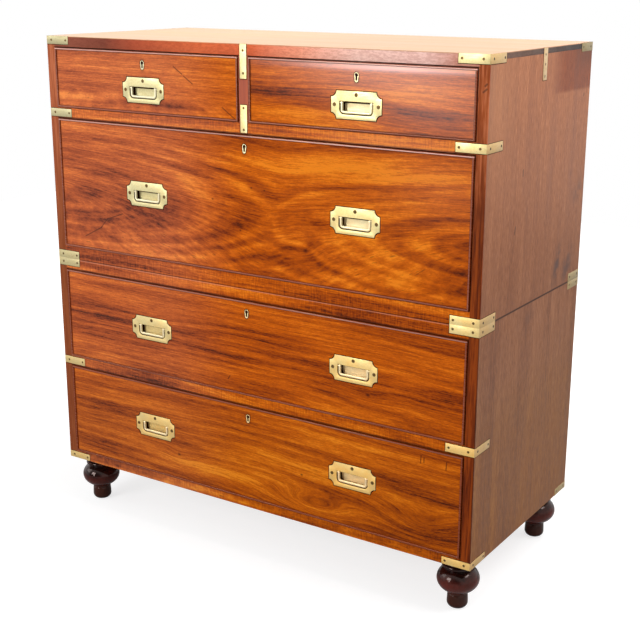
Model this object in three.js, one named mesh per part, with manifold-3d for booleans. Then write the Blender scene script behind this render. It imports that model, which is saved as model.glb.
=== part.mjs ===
// A campaign chest in two stacked cases: two short drawers over a deep one above, two long drawers below.
// It is drawn in millimetres with +Z up. Inside the chest's group, x runs to the right from the middle,
// y runs back from the front of the case, and z runs up from the underside of the lower case.
import * as THREE from "three";
import { mergeVertices } from "three/addons/utils/BufferGeometryUtils.js";
import Module from "manifold-3d";

const wasm = await Module();
wasm.setup();

// Case sizes
const WIDTH = 990;
const DEPTH = 448;
const LOWER_HEIGHT = 458;
const UPPER_HEIGHT = 460;
const SIDE = 20;
const TOP_BOARD = 21;
const TOP_LAP = 10.5; // the part of the top board's thickness that shows over the sides
const UPPER_BASE = 26.5;
const LOWER_TOP = 23;
const LOWER_BASE = 18;
const UPRIGHT = 21;
const BACK_BOARD = 9;
const BACK_RABBET = 10;
const BACK_JOINTS = 3; // joints between the back's upright boards
const BACK_GROOVE = 3;
const HOUSING = 6; // how far a shelf goes into the sides
const HOUSING_STOP = 12; // and how far behind the front the housing stops
const DOWEL = 12;
const DOWEL_RISE = 10;
const DOWEL_INSET = 62;
const FIT = 0.25; // a glue line or a close clearance
const CUT = 5; // how far every cut runs past the wood

// Drawer openings and the frames between them
const BOTTOM_OPENING = 201;
const SHORT_OPENING = 122;
const RAIL = 20.5;
const RAIL_DEPTH = 60;
const RUNNER = 45;
const DUST_PANEL = 7;

// Drawers
const DRAWER_FRONT = 22;
const DRAWER_SIDE = 11;
const DRAWER_BOTTOM = 8;
const BOTTOM_RAISE = 8;
const BOTTOM_TONGUE = 6;
const BACK_DROP = 14;
const DRAWER_GAP = 1.75; // beside and over a drawer front
const SILL_GAP = 1; // under it
const REAR_GAP = 9;
const BEAD = 4;
const BEAD_PROUD = 2.5;
const TAIL_LENGTH = 16;
const TAIL_PITCH = 42;
const PIN = 8; // the narrow side of a dovetail pin
const TAIL_SLOPE_SHARE = 1 / 7;

// Handles, with heights from the bottom of each opening
const SHORT_HANDLE = 46;
const DEEP_HANDLE = 131.5;
const MIDDLE_HANDLE = 97.5;
const BOTTOM_HANDLE = 105;
const HANDLE_SPREAD = 242.75; // from the middle of a long drawer to each handle
const PLATE_WIDTH = 103;
const PLATE_HEIGHT = 49;
const PLATE = 2;
const PLATE_PROUD = 0.3;
const SCOOP = 11;
const RECESS_WIDTH = 69.5;
const RECESS_HEIGHT = 23.25;
const RECESS_DROP = 18; // from the plate's top edge
const RECESS_RADIUS = 9;
const DISH = 11;
const DISH_WALL = 1.25;
const BAIL_BAR = 5.4;
const BAIL = 4.4;
const BAIL_GAP = 1.8;
const BAIL_BEVEL = 1.2;
const TRUNNION = 2.5;
const TRUNNION_SEAT = 1;
const PIVOT_CLEARANCE = 0.4;

// Locks
const KEYHOLE_DROP = 27.5;
const ESCUTCHEON_HEAD = 11.5;
const ESCUTCHEON_FOOT = 8.5;
const ESCUTCHEON_HEIGHT = 19.5;
const KEYHOLE = 4.6;
const KEYHOLE_SLOT = 2;
const KEYHOLE_DEPTH = 8;
const LOCK_WIDTH = 64;
const LOCK_HEIGHT = 42;
const LOCK_PROUD = 1;
const BOLT_WIDTH = 22;
const BOLT = 4;
const BOLT_HEIGHT = 18;
const BOLT_SETBACK = 12;
const BOLT_THROW = 8;
const BOLT_PLAY = 0.3;
const MORTISE_PLAY = 1;

// Brass straps let into the corners, and the short strips on the front and the sides
const STRAP = 2;
const STRAP_HEIGHT = 16.25;
const BASE_STRAP_HEIGHT = 14.25;
const FRONT_LEG = 58;
const SIDE_LEG = 60;
const REAR_LEG = 54;
const BRASS_PROUD = 0.4;
const STRIP_WIDTH = 15.5;
const SIDE_STRIP_WIDTH = 17.5;
const TOP_STRIP = 63;
const SIDE_STRIP = 57;
const RAIL_STRIP = 52;
const RAIL_STRIP_LIFT = 1.5; // above the rail's lower edge
const STRIP_ROUND = 1.5;

// Feet
const FOOT_HEIGHT = 105;
const FOOT_SIDE_INSET = 45.5;
const FOOT_FRONT_INSET = 47;
const FOOT_REAR_INSET = 41;
const FOOT_COLLAR = 52;
const FOOT_COLLAR_HEIGHT = 5;
const FOOT_BULB = 81;
const BULB_HEIGHT = 73;
const FOOT_NECK = 38.5;
const FOOT_STEM = 40;
const STEM_ROUND = 11;
const SPIGOT = 24;
const SPIGOT_HEIGHT = 14;

// Facets
const WELD = 1e-4;
const ROUND_STEPS = 3;
const BEAD_STEPS = 4;
const BEND_STEPS = 3;
const BULB_STEPS = 6;
const FOOT_SIDES = 16;
const PIN_SIDES = 8;

// Levels, worked out from the sizes above
const TOP = LOWER_HEIGHT + UPPER_HEIGHT;
const INNER = WIDTH / 2 - SIDE;
const SHELF_BACK = DEPTH - BACK_BOARD - FIT;
const LOWER_RAIL_LOW = LOWER_BASE + BOTTOM_OPENING;
const LOWER_RAIL_HIGH = LOWER_RAIL_LOW + RAIL;
const UPPER_FLOOR = LOWER_HEIGHT + UPPER_BASE;
const CEILING = TOP - TOP_BOARD;
const UPPER_RAIL_HIGH = CEILING - SHORT_OPENING;
const UPPER_RAIL_LOW = UPPER_RAIL_HIGH - RAIL;

const mahogany = { color: 0x9a4a1e, roughness: 0.35, metalness: 0 };
const rosewood = { color: 0x8a5038, roughness: 0.5, metalness: 0 };
const cedar = { color: 0xa9713f, roughness: 0.7, metalness: 0 };
const ebonized = { color: 0x2a1210, roughness: 0.25, metalness: 0 };
const brass = { color: 0xd9b365, roughness: 0.35, metalness: 1 };

const chest = new THREE.Group();
const X = new THREE.Vector3(1, 0, 0);
const Y = new THREE.Vector3(0, 1, 0);
const Z = new THREE.Vector3(0, 0, 1);

function toSolid(geometry) {
  const bare = geometry.index ? geometry.toNonIndexed() : geometry.clone();
  bare.deleteAttribute("normal");
  bare.deleteAttribute("uv");
  const welded = mergeVertices(bare, WELD);
  return new wasm.Manifold(
    new wasm.Mesh({
      numProp: 3,
      vertProperties: welded.attributes.position.array,
      triVerts: new Uint32Array(welded.index.array),
    }),
  );
}

function addPiece(name, solid, finish) {
  const made = solid.getMesh();
  const geometry = new THREE.BufferGeometry();
  geometry.setAttribute("position", new THREE.BufferAttribute(made.vertProperties, 3));
  geometry.setIndex(new THREE.BufferAttribute(made.triVerts, 1));
  geometry.computeVertexNormals();
  const piece = new THREE.Mesh(geometry, new THREE.MeshStandardMaterial(finish));
  piece.name = name;
  chest.add(piece);
}

function slab(x0, x1, y0, y1, z0, z1) {
  const box = new THREE.BoxGeometry(Math.abs(x1 - x0), Math.abs(y1 - y0), Math.abs(z1 - z0));
  box.translate((x0 + x1) / 2, (y0 + y1) / 2, (z0 + z1) / 2);
  return toSolid(box);
}

// An outline extruded along x, y or z. Its own two axes are (y, z), (x, z) and (x, y).
function extrude(outline, axis, from, to) {
  const depth = to - from;
  const options = { depth, bevelEnabled: false, curveSegments: ROUND_STEPS };
  const geometry = new THREE.ExtrudeGeometry(outline, options);
  const turn = new THREE.Matrix4();
  if (axis === "x") {
    turn.makeBasis(Y, Z, X).setPosition(from, 0, 0);
  } else if (axis === "y") {
    turn.makeBasis(X, Z, Y.clone().negate()).setPosition(0, to, 0);
  } else {
    turn.setPosition(0, 0, from);
  }
  return toSolid(geometry.applyMatrix4(turn));
}

function rod(axis, x, y, z, radius, from, to, sides = PIN_SIDES) {
  const geometry = new THREE.CylinderGeometry(radius, radius, to - from, sides);
  if (axis === "x") {
    geometry.rotateZ(-Math.PI / 2).translate((from + to) / 2, y, z);
  } else if (axis === "y") {
    geometry.translate(x, (from + to) / 2, z);
  } else {
    geometry.rotateX(Math.PI / 2).translate(x, y, (from + to) / 2);
  }
  return toSolid(geometry);
}

function shapeOf(points) {
  return new THREE.Shape(points.map(([u, v]) => new THREE.Vector2(u, v)));
}

function cutAll(solid, tools) {
  return tools.reduce((left, tool) => left.subtract(tool), solid);
}

// Straps and strips

// The plan of an angle strap round a corner of the case. grow widens it into the recess it is let into.
function strapPlan(side, atFront, faceLeg, sideLeg, grow, over) {
  const inward = atFront ? 1 : -1;
  const face = (atFront ? 0 : DEPTH) - inward * BRASS_PROUD;
  const edge = WIDTH / 2 + BRASS_PROUD;
  const tip = WIDTH / 2 - faceLeg - grow;
  const tail = (atFront ? 0 : DEPTH) + inward * (sideLeg + grow);
  const wall = STRAP + grow;
  return shapeOf([
    [side * tip, face - inward * over],
    [side * (edge + over), face - inward * over],
    [side * (edge + over), tail],
    [side * (edge - wall), tail],
    [side * (edge - wall), face + inward * wall],
    [side * tip, face + inward * wall],
  ]);
}

function strap(side, atFront, faceLeg, sideLeg, low, high) {
  return extrude(strapPlan(side, atFront, faceLeg, sideLeg, 0, 0), "z", low, high);
}

function strapRecess(side, atFront, faceLeg, sideLeg, low, high) {
  return extrude(strapPlan(side, atFront, faceLeg, sideLeg, FIT, CUT), "z", low - FIT, high + FIT);
}

const FRONT_STRAPS = [
  { name: "strap_base", low: 0, high: BASE_STRAP_HEIGHT },
  { name: "strap_lower_rail", ...centred(LOWER_RAIL_LOW + RAIL / 2) },
  { name: "strap_seam_lower", low: LOWER_HEIGHT - STRAP_HEIGHT, high: LOWER_HEIGHT },
  { name: "strap_seam_upper", low: LOWER_HEIGHT, high: LOWER_HEIGHT + STRAP_HEIGHT },
  { name: "strap_upper_rail", ...centred(UPPER_RAIL_LOW + RAIL / 2) },
  { name: "strap_top", low: TOP - STRAP_HEIGHT, high: TOP },
];
const REAR_STRAPS = FRONT_STRAPS.filter(({ name }) => !name.includes("rail"));

function centred(middle) {
  return { low: middle - STRAP_HEIGHT / 2, high: middle + STRAP_HEIGHT / 2 };
}

function touches(level, low, high) {
  return level.high > low && level.low < high;
}

// The recesses of every strap that crosses a board between two heights
function frontRecesses(low, high) {
  return [-1, 1].flatMap((side) =>
    FRONT_STRAPS.filter((level) => touches(level, low, high)).map((level) =>
      strapRecess(side, true, FRONT_LEG, SIDE_LEG, level.low, level.high),
    ),
  );
}

function rearRecesses(low, high) {
  return [-1, 1].flatMap((side) =>
    REAR_STRAPS.filter((level) => touches(level, low, high)).map((level) =>
      strapRecess(side, false, REAR_LEG, REAR_LEG, level.low, level.high),
    ),
  );
}

// The two rear straps that a side of one case carries, at its foot and at its head
function rearStraps(side, isUpper) {
  return REAR_STRAPS.filter((level) => level.low >= LOWER_HEIGHT === isUpper).map((level) =>
    strap(side, false, REAR_LEG, REAR_LEG, level.low, level.high),
  );
}

// A short upright strip with rounded ends, drawn in a plane by its middle, width and ends
function stripOutline(middle, width, low, high, grow) {
  const half = width / 2 + grow;
  const round = STRIP_ROUND + grow;
  const outline = new THREE.Shape();
  outline.moveTo(middle - half, high + grow);
  outline.lineTo(middle - half, low - grow + round);
  outline.absarc(middle - half + round, low - grow + round, round, Math.PI, 1.5 * Math.PI);
  outline.absarc(middle + half - round, low - grow + round, round, 1.5 * Math.PI, 2 * Math.PI);
  outline.lineTo(middle + half, high + grow);
  return outline;
}

function frontStrip(low, high, grow, over) {
  const outline = stripOutline(0, STRIP_WIDTH, low, high, grow);
  return extrude(outline, "y", -BRASS_PROUD - over, STRAP - BRASS_PROUD + grow);
}

const topStrip = (grow, over) => frontStrip(TOP - TOP_STRIP, TOP, grow, over);
const railStripLow = UPPER_RAIL_LOW + RAIL_STRIP_LIFT;
const railStrip = (grow, over) => frontStrip(railStripLow, railStripLow + RAIL_STRIP, grow, over);

function sideStrip(side, grow, over) {
  const outline = stripOutline(DEPTH / 2, SIDE_STRIP_WIDTH, TOP - SIDE_STRIP, TOP, grow);
  const inner = WIDTH / 2 + BRASS_PROUD - STRAP - grow;
  const outer = WIDTH / 2 + BRASS_PROUD + over;
  return side > 0
    ? extrude(outline, "x", inner, outer)
    : extrude(outline, "x", -outer, -inner);
}

// Case boards

// A board between the sides whose ends go into stopped housings
function shelf(low, high) {
  const middle = slab(FIT - INNER, INNER - FIT, 0, SHELF_BACK, low, high);
  const reach = INNER + HOUSING - FIT;
  const ends = slab(-reach, reach, HOUSING_STOP + FIT, SHELF_BACK, low, high);
  return middle.add(ends);
}

function housing(side, low, high) {
  const y1 = SHELF_BACK + CUT;
  return slab(side * (INNER - CUT), side * (INNER + HOUSING), HOUSING_STOP, y1, low - FIT, high + FIT);
}

function boltMortise(x, underside) {
  const halfWidth = BOLT_WIDTH / 2 + MORTISE_PLAY;
  const halfDepth = BOLT / 2 + MORTISE_PLAY;
  const roof = underside + BOLT_THROW - DRAWER_GAP + MORTISE_PLAY;
  return slab(
    x - halfWidth,
    x + halfWidth,
    BOLT_SETBACK - halfDepth,
    BOLT_SETBACK + halfDepth,
    underside - CUT,
    roof,
  );
}

function dowelPlaces() {
  const x = WIDTH / 2 - DOWEL_INSET;
  return [-x, x].flatMap((at) => [
    [at, DOWEL_INSET],
    [at, SHELF_BACK - DOWEL_INSET],
  ]);
}

function caseSide(side, low, high, shelves) {
  const board = slab(side * INNER, side * (WIDTH / 2), 0, DEPTH, low, high);
  const inner = side * (INNER - CUT);
  const rabbet = slab(inner, side * (INNER + BACK_RABBET), SHELF_BACK, DEPTH + CUT, low - CUT, high + CUT);
  const housings = shelves.map(([bottom, top]) => housing(side, bottom, top));
  const cut = cutAll(board, [rabbet, ...housings, ...frontRecesses(low, high)]);
  return rearStraps(side, low >= LOWER_HEIGHT).reduce((all, one) => all.add(one), cut);
}

function upperSide(side) {
  const high = TOP - TOP_LAP - FIT;
  const shelves = [
    [LOWER_HEIGHT, UPPER_FLOOR],
    [UPPER_RAIL_LOW, UPPER_RAIL_HIGH],
  ];
  return caseSide(side, LOWER_HEIGHT, high, shelves).add(sideStrip(side, 0, 0));
}

function lowerSide(side) {
  return caseSide(side, 0, LOWER_HEIGHT, [
    [0, LOWER_BASE],
    [LOWER_RAIL_LOW, LOWER_RAIL_HIGH],
    [LOWER_HEIGHT - LOWER_TOP, LOWER_HEIGHT],
  ]);
}

// The top board laps over the sides and the back
function topBoard() {
  const board = slab(-WIDTH / 2, WIDTH / 2, 0, DEPTH, CEILING, TOP);
  const under = TOP - TOP_LAP;
  const laps = [-1, 1].map((side) =>
    slab(side * (INNER - FIT), side * (WIDTH / 2 + CUT), -CUT, DEPTH + CUT, CEILING - CUT, under),
  );
  const rear = slab(-WIDTH, WIDTH, SHELF_BACK, DEPTH + CUT, CEILING - CUT, under);
  const mortises = [-1, 1].map((side) => boltMortise(side * shortMiddle(), CEILING));
  const strips = [topStrip(FIT, CUT), sideStrip(-1, FIT, CUT), sideStrip(1, FIT, CUT)];
  const straps = [...frontRecesses(CEILING, TOP), ...rearRecesses(CEILING, TOP)];
  return cutAll(board, [...laps, rear, ...mortises, ...strips, ...straps]);
}

function upperBase() {
  const sockets = dowelPlaces().map(([x, y]) =>
    rod("z", x, y, 0, DOWEL / 2 + FIT, LOWER_HEIGHT - CUT, LOWER_HEIGHT + DOWEL_RISE + FIT),
  );
  return cutAll(shelf(LOWER_HEIGHT, UPPER_FLOOR), [...sockets, ...frontRecesses(LOWER_HEIGHT, UPPER_FLOOR)]);
}

function lowerTop() {
  const low = LOWER_HEIGHT - LOWER_TOP;
  const board = cutAll(shelf(low, LOWER_HEIGHT), [boltMortise(0, low), ...frontRecesses(low, LOWER_HEIGHT)]);
  const dowels = dowelPlaces().map(([x, y]) =>
    rod("z", x, y, 0, DOWEL / 2, LOWER_HEIGHT - DOWEL_RISE, LOWER_HEIGHT + DOWEL_RISE),
  );
  return dowels.reduce((all, one) => all.add(one), board);
}

function lowerBase() {
  const holes = footPlaces().map(([x, y]) =>
    rod("z", x, y, 0, SPIGOT / 2 + FIT, -CUT, SPIGOT_HEIGHT + FIT, FOOT_SIDES),
  );
  return cutAll(shelf(0, LOWER_BASE), [...holes, ...frontRecesses(0, LOWER_BASE)]);
}

// A frame of rails and runners with a thin panel between them. A middle runner carries two short drawers.
function dustFrame(low, withMiddle) {
  const high = low + RAIL;
  const web = (RAIL - DUST_PANEL) / 2;
  const bays = withMiddle
    ? [
        [-INNER + RUNNER, -RUNNER],
        [RUNNER, INNER - RUNNER],
      ]
    : [[-INNER + RUNNER, INNER - RUNNER]];
  const back = SHELF_BACK - RUNNER;
  const trays = bays.flatMap(([x0, x1]) => [
    slab(x0, x1, RAIL_DEPTH, back, high - web, high + CUT),
    slab(x0, x1, RAIL_DEPTH, back, low - CUT, low + web),
  ]);
  return cutAll(shelf(low, high), [...trays, boltMortise(0, low), ...frontRecesses(low, high)]);
}

// The upright between the short drawers, with the two brass strips that tie it to the top and the rail
function upright() {
  const board = slab(-UPRIGHT / 2, UPRIGHT / 2, 0, SHELF_BACK, UPPER_RAIL_HIGH + FIT, CEILING - FIT);
  return board.add(topStrip(0, 0)).add(railStrip(0, 0));
}

// Upright back boards, shown as one panel with shallow joints
function backPanel(low, high) {
  const half = INNER + BACK_RABBET - FIT;
  const panel = slab(-half, half, DEPTH - BACK_BOARD, DEPTH, low, high);
  const pitch = (2 * half) / (BACK_JOINTS + 1);
  const grooves = Array.from({ length: BACK_JOINTS }, (_, n) => {
    const x = -half + (n + 1) * pitch;
    const groove = shapeOf([
      [x - BACK_GROOVE / 2, DEPTH],
      [x, DEPTH - BACK_GROOVE / 2],
      [x + BACK_GROOVE / 2, DEPTH],
      [x, DEPTH + CUT],
    ]);
    return extrude(groove, "z", low - CUT, high + CUT);
  });
  return cutAll(panel, [...grooves, ...rearRecesses(low, high)]);
}

function upperBack() {
  return backPanel(LOWER_HEIGHT, TOP - TOP_LAP - FIT);
}

function addCases() {
  addPiece("upper_top_board", topBoard(), rosewood);
  addPiece("upper_left_side", upperSide(-1), rosewood);
  addPiece("upper_right_side", upperSide(1), rosewood);
  addPiece("upper_bottom_board", upperBase(), mahogany);
  addPiece("upper_back_boards", upperBack(), cedar);
  addPiece("upper_drawer_rail", dustFrame(UPPER_RAIL_LOW, true).subtract(railStrip(FIT, CUT)), mahogany);
  addPiece("short_drawer_upright", upright(), mahogany);
  addPiece("lower_top_board", lowerTop(), mahogany);
  addPiece("lower_left_side", lowerSide(-1), rosewood);
  addPiece("lower_right_side", lowerSide(1), rosewood);
  addPiece("lower_bottom_board", lowerBase(), mahogany);
  addPiece("lower_back_boards", backPanel(0, LOWER_HEIGHT), cedar);
  addPiece("lower_drawer_rail", dustFrame(LOWER_RAIL_LOW, false), mahogany);
}

function addStraps() {
  for (const [side, hand] of [
    [-1, "left"],
    [1, "right"],
  ]) {
    for (const { name, low, high } of FRONT_STRAPS) {
      addPiece(name + "_" + hand, strap(side, true, FRONT_LEG, SIDE_LEG, low, high), brass);
    }
  }
}

// Feet

function footPlaces() {
  const x = WIDTH / 2 - FOOT_SIDE_INSET;
  return [
    [-x, FOOT_FRONT_INSET, "front_left_foot"],
    [x, FOOT_FRONT_INSET, "front_right_foot"],
    [-x, DEPTH - FOOT_REAR_INSET, "rear_left_foot"],
    [x, DEPTH - FOOT_REAR_INSET, "rear_right_foot"],
  ];
}

// Points of an ellipse's arc from one angle to another, measured from the axis of turning
function ellipseArc(cx, cy, rx, ry, from, to, steps) {
  return Array.from({ length: steps + 1 }, (_, n) => {
    const angle = from + ((to - from) * n) / steps;
    return [cx + rx * Math.cos(angle), cy + ry * Math.sin(angle)];
  });
}

// The turned profile from the spigot down: collar, bulb, neck and a stem with a rounded end
function footProfile() {
  const bulb = FOOT_BULB / 2;
  const half = BULB_HEIGHT / 2;
  const middle = -FOOT_COLLAR_HEIGHT - half * Math.sqrt(1 - (FOOT_COLLAR / FOOT_BULB) ** 2);
  const start = Math.acos(FOOT_COLLAR / FOOT_BULB);
  const end = -Math.acos(FOOT_NECK / FOOT_BULB);
  const round = FOOT_STEM / 2 - STEM_ROUND;
  return [
    [0, SPIGOT_HEIGHT],
    [SPIGOT / 2, SPIGOT_HEIGHT],
    [SPIGOT / 2, -FIT],
    [FOOT_COLLAR / 2 + FOOT_COLLAR_HEIGHT / 2, -FIT],
    [FOOT_COLLAR / 2 + FOOT_COLLAR_HEIGHT, -FOOT_COLLAR_HEIGHT / 2],
    [FOOT_COLLAR / 2 + FOOT_COLLAR_HEIGHT / 2, -FOOT_COLLAR_HEIGHT],
    ...ellipseArc(0, middle, bulb, half, start, end, BULB_STEPS),
    ...ellipseArc(round, STEM_ROUND - FOOT_HEIGHT, STEM_ROUND, STEM_ROUND, 0, -Math.PI / 2, ROUND_STEPS),
    [0, -FOOT_HEIGHT],
  ];
}

function foot(x, y) {
  const profile = footProfile().map(([r, z]) => new THREE.Vector2(r, z));
  const turned = new THREE.LatheGeometry(profile.reverse(), FOOT_SIDES);
  turned.rotateX(Math.PI / 2).translate(x, y, 0);
  return toSolid(turned);
}

function addFeet() {
  for (const [x, y, name] of footPlaces()) {
    addPiece(name, foot(x, y), ebonized);
  }
}

// Handles

function plateOutline(x, z, grow) {
  const halfWidth = PLATE_WIDTH / 2 + grow;
  const halfHeight = PLATE_HEIGHT / 2 + grow;
  const outline = new THREE.Shape();
  const corners = [
    [-1, -1, Math.PI / 2, 0],
    [1, -1, Math.PI, Math.PI / 2],
    [1, 1, 1.5 * Math.PI, Math.PI],
    [-1, 1, 2 * Math.PI, 1.5 * Math.PI],
  ];
  for (const [right, up, from, to] of corners) {
    outline.absarc(x + right * halfWidth, z + up * halfHeight, SCOOP, from, to, true);
  }
  return outline;
}

// The opening in the plate: square above, rounded below. grow makes the dish's outside and its mortise.
function recessOutline(x, z, grow) {
  const half = RECESS_WIDTH / 2 + grow;
  const high = z + PLATE_HEIGHT / 2 - RECESS_DROP + grow;
  const low = high - RECESS_HEIGHT - 2 * grow;
  const round = RECESS_RADIUS + grow;
  const outline = new THREE.Shape();
  outline.moveTo(x - half, high);
  outline.lineTo(x - half, low + round);
  outline.absarc(x - half + round, low + round, round, Math.PI, 1.5 * Math.PI);
  outline.absarc(x + half - round, low + round, round, 1.5 * Math.PI, 2 * Math.PI);
  outline.lineTo(x + half, high);
  return outline;
}

function pivotPlace(z) {
  const high = z + PLATE_HEIGHT / 2 - RECESS_DROP;
  return { y: BAIL / 2 - PLATE_PROUD, z: high - BAIL / 2 - PIVOT_CLEARANCE };
}

function handlePlate(x, z) {
  const plate = extrude(plateOutline(x, z, 0), "y", -PLATE_PROUD, PLATE - PLATE_PROUD);
  const floor = DISH - PLATE_PROUD;
  const dish = extrude(recessOutline(x, z, DISH_WALL), "y", 0, floor + DISH_WALL);
  const hollow = extrude(recessOutline(x, z, 0), "y", -CUT, floor);
  const pivot = pivotPlace(z);
  const reach = RECESS_WIDTH / 2 + TRUNNION_SEAT + FIT;
  const bearing = rod("x", 0, pivot.y, pivot.z, TRUNNION / 2 + FIT, x - reach, x + reach);
  return cutAll(plate.add(dish), [hollow, bearing]);
}

// The plate's seat in the wood, with a square mortise for the dish
function handleMortise(x, z) {
  const plate = extrude(plateOutline(x, z, FIT), "y", -CUT, PLATE - PLATE_PROUD + FIT);
  const floor = DISH - PLATE_PROUD + DISH_WALL + FIT;
  const half = RECESS_WIDTH / 2 + DISH_WALL + FIT;
  const high = z + PLATE_HEIGHT / 2 - RECESS_DROP + DISH_WALL + FIT;
  const low = high - RECESS_HEIGHT - 2 * (DISH_WALL + FIT);
  return plate.add(slab(x - half, x + half, -CUT, floor, low, high));
}

// The middle line of the bail's U, each point with the direction that faces out of the U
function bailLine(x, z) {
  const half = RECESS_WIDTH / 2 - BAIL_GAP - BAIL_BAR / 2;
  const low = z + PLATE_HEIGHT / 2 - RECESS_DROP - RECESS_HEIGHT + BAIL_GAP + BAIL_BAR / 2;
  const round = RECESS_RADIUS - BAIL_GAP - BAIL_BAR / 2;
  const corner = (side, from) =>
    Array.from({ length: BEND_STEPS + 1 }, (_, n) => {
      const angle = from + (n * Math.PI) / 2 / BEND_STEPS;
      const out = [Math.cos(angle), Math.sin(angle)];
      return { x: x + side * (half - round) + round * out[0], z: low + round + round * out[1], out };
    });
  const top = pivotPlace(z).z;
  return [
    { x: x - half, z: top, out: [-1, 0] },
    ...corner(-1, Math.PI),
    ...corner(1, 1.5 * Math.PI),
    { x: x + half, z: top, out: [1, 0] },
  ];
}

// A flat bar with eased edges, carried along a line in the plane of the drawer front
function barAlong(line, width, thick, bevel, middleY) {
  const a = width / 2;
  const b = thick / 2;
  const section = [
    [a, b - bevel],
    [a - bevel, b],
    [bevel - a, b],
    [-a, b - bevel],
    [-a, bevel - b],
    [bevel - a, -b],
    [a - bevel, -b],
    [a, bevel - b],
  ];
  const sides = section.length;
  const points = line.flatMap((at) =>
    section.map(([out, back]) => [at.x + out * at.out[0], middleY + back, at.z + out * at.out[1]]),
  );
  const faces = [];
  for (let n = 0; n + 1 < line.length; n++) {
    for (let k = 0; k < sides; k++) {
      const next = (k + 1) % sides;
      const [p, q, r, t] = [n * sides + k, n * sides + next, (n + 1) * sides + k, (n + 1) * sides + next];
      faces.push(p, t, r, p, q, t);
    }
  }
  const last = (line.length - 1) * sides;
  for (let k = 1; k + 1 < sides; k++) {
    faces.push(0, k + 1, k, last, last + k, last + k + 1);
  }
  const geometry = new THREE.BufferGeometry();
  geometry.setAttribute("position", new THREE.Float32BufferAttribute(points.flat(), 3));
  geometry.setIndex(faces);
  return toSolid(geometry);
}

// A U of flat bar turned about two trunnions at its upper ends
function bail(x, z) {
  const pivot = pivotPlace(z);
  const bar = barAlong(bailLine(x, z), BAIL_BAR, BAIL, BAIL_BEVEL, pivot.y);
  const half = RECESS_WIDTH / 2 - BAIL_GAP;
  const seat = RECESS_WIDTH / 2 + TRUNNION_SEAT;
  const ends = [-1, 1].flatMap((side) => {
    const pin = (radius, from, to) => {
      const [low, high] = [side * from, side * to].sort((a, b) => a - b);
      return rod("x", 0, pivot.y, pivot.z, radius, x + low, x + high);
    };
    return [pin(BAIL / 2, half - BAIL_BAR, half), pin(TRUNNION / 2, half - BAIL_BAR / 2, seat)];
  });
  return ends.reduce((all, one) => all.add(one), bar);
}

// Locks

// A round head over a smaller round foot, joined by straight sides
function keyOutline(x, headZ, head, tip, height) {
  const drop = height - (head + tip) / 2;
  const lean = Math.asin((head - tip) / 2 / drop);
  const outline = new THREE.Shape();
  outline.absarc(x, headZ, head / 2, -lean, Math.PI + lean);
  outline.absarc(x, headZ - drop, tip / 2, Math.PI + lean, 2 * Math.PI - lean);
  return outline;
}

function escutcheon(x, top) {
  const z = top - KEYHOLE_DROP + DRAWER_GAP + (ESCUTCHEON_HEIGHT - ESCUTCHEON_HEAD) / 2;
  const outline = keyOutline(x, z, ESCUTCHEON_HEAD, ESCUTCHEON_FOOT, ESCUTCHEON_HEIGHT);
  const plate = extrude(outline, "y", -BRASS_PROUD, BRASS_PROUD);
  const slotLow = z - ESCUTCHEON_HEIGHT + ESCUTCHEON_HEAD;
  const hole = rod("y", x, 0, z, KEYHOLE / 2, -CUT, KEYHOLE_DEPTH);
  const slot = slab(x - KEYHOLE_SLOT / 2, x + KEYHOLE_SLOT / 2, -CUT, KEYHOLE_DEPTH, slotLow, z);
  return { plate, hole: hole.add(slot) };
}

function boltSlot(x, top) {
  const halfWidth = BOLT_WIDTH / 2 + BOLT_PLAY;
  const halfDepth = BOLT / 2 + BOLT_PLAY;
  const floor = top - BOLT_HEIGHT - 2 * BOLT_PLAY;
  const y0 = BOLT_SETBACK - halfDepth;
  return slab(x - halfWidth, x + halfWidth, y0, y0 + 2 * halfDepth, floor, top + CUT);
}

function lockCase(x, top) {
  const half = LOCK_WIDTH / 2;
  const high = top - BEAD;
  return slab(x - half, x + half, BOLT_SETBACK, DRAWER_FRONT + LOCK_PROUD, high - LOCK_HEIGHT, high);
}

function lockBolt(x, top) {
  const high = top - BOLT_PLAY;
  const y0 = BOLT_SETBACK - BOLT / 2;
  return slab(x - BOLT_WIDTH / 2, x + BOLT_WIDTH / 2, y0, y0 + BOLT, high - BOLT_HEIGHT, high);
}

// Drawers

function shortMiddle() {
  return (INNER + UPRIGHT / 2) / 2;
}

function drawers() {
  const middle = shortMiddle();
  const shorts = { low: UPPER_RAIL_HIGH, high: CEILING, halfWidth: (INNER - UPRIGHT / 2) / 2 };
  const long = { x: 0, halfWidth: INNER, handles: [-HANDLE_SPREAD, HANDLE_SPREAD] };
  const middleLow = LOWER_RAIL_HIGH;
  const middleHigh = LOWER_HEIGHT - LOWER_TOP;
  return [
    { name: "short_left", ...shorts, x: -middle, handles: [-middle], lift: SHORT_HANDLE },
    { name: "short_right", ...shorts, x: middle, handles: [middle], lift: SHORT_HANDLE },
    { name: "deep", ...long, low: UPPER_FLOOR, high: UPPER_RAIL_LOW, lift: DEEP_HANDLE },
    { name: "middle", ...long, low: middleLow, high: middleHigh, lift: MIDDLE_HANDLE },
    { name: "bottom", ...long, low: LOWER_BASE, high: LOWER_RAIL_LOW, lift: BOTTOM_HANDLE },
  ];
}

function frontFace(drawer) {
  const { x, halfWidth, low, high } = drawer;
  const half = halfWidth - DRAWER_GAP;
  return { x0: x - half, x1: x + half, z0: low + SILL_GAP, z1: high - DRAWER_GAP };
}

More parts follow.
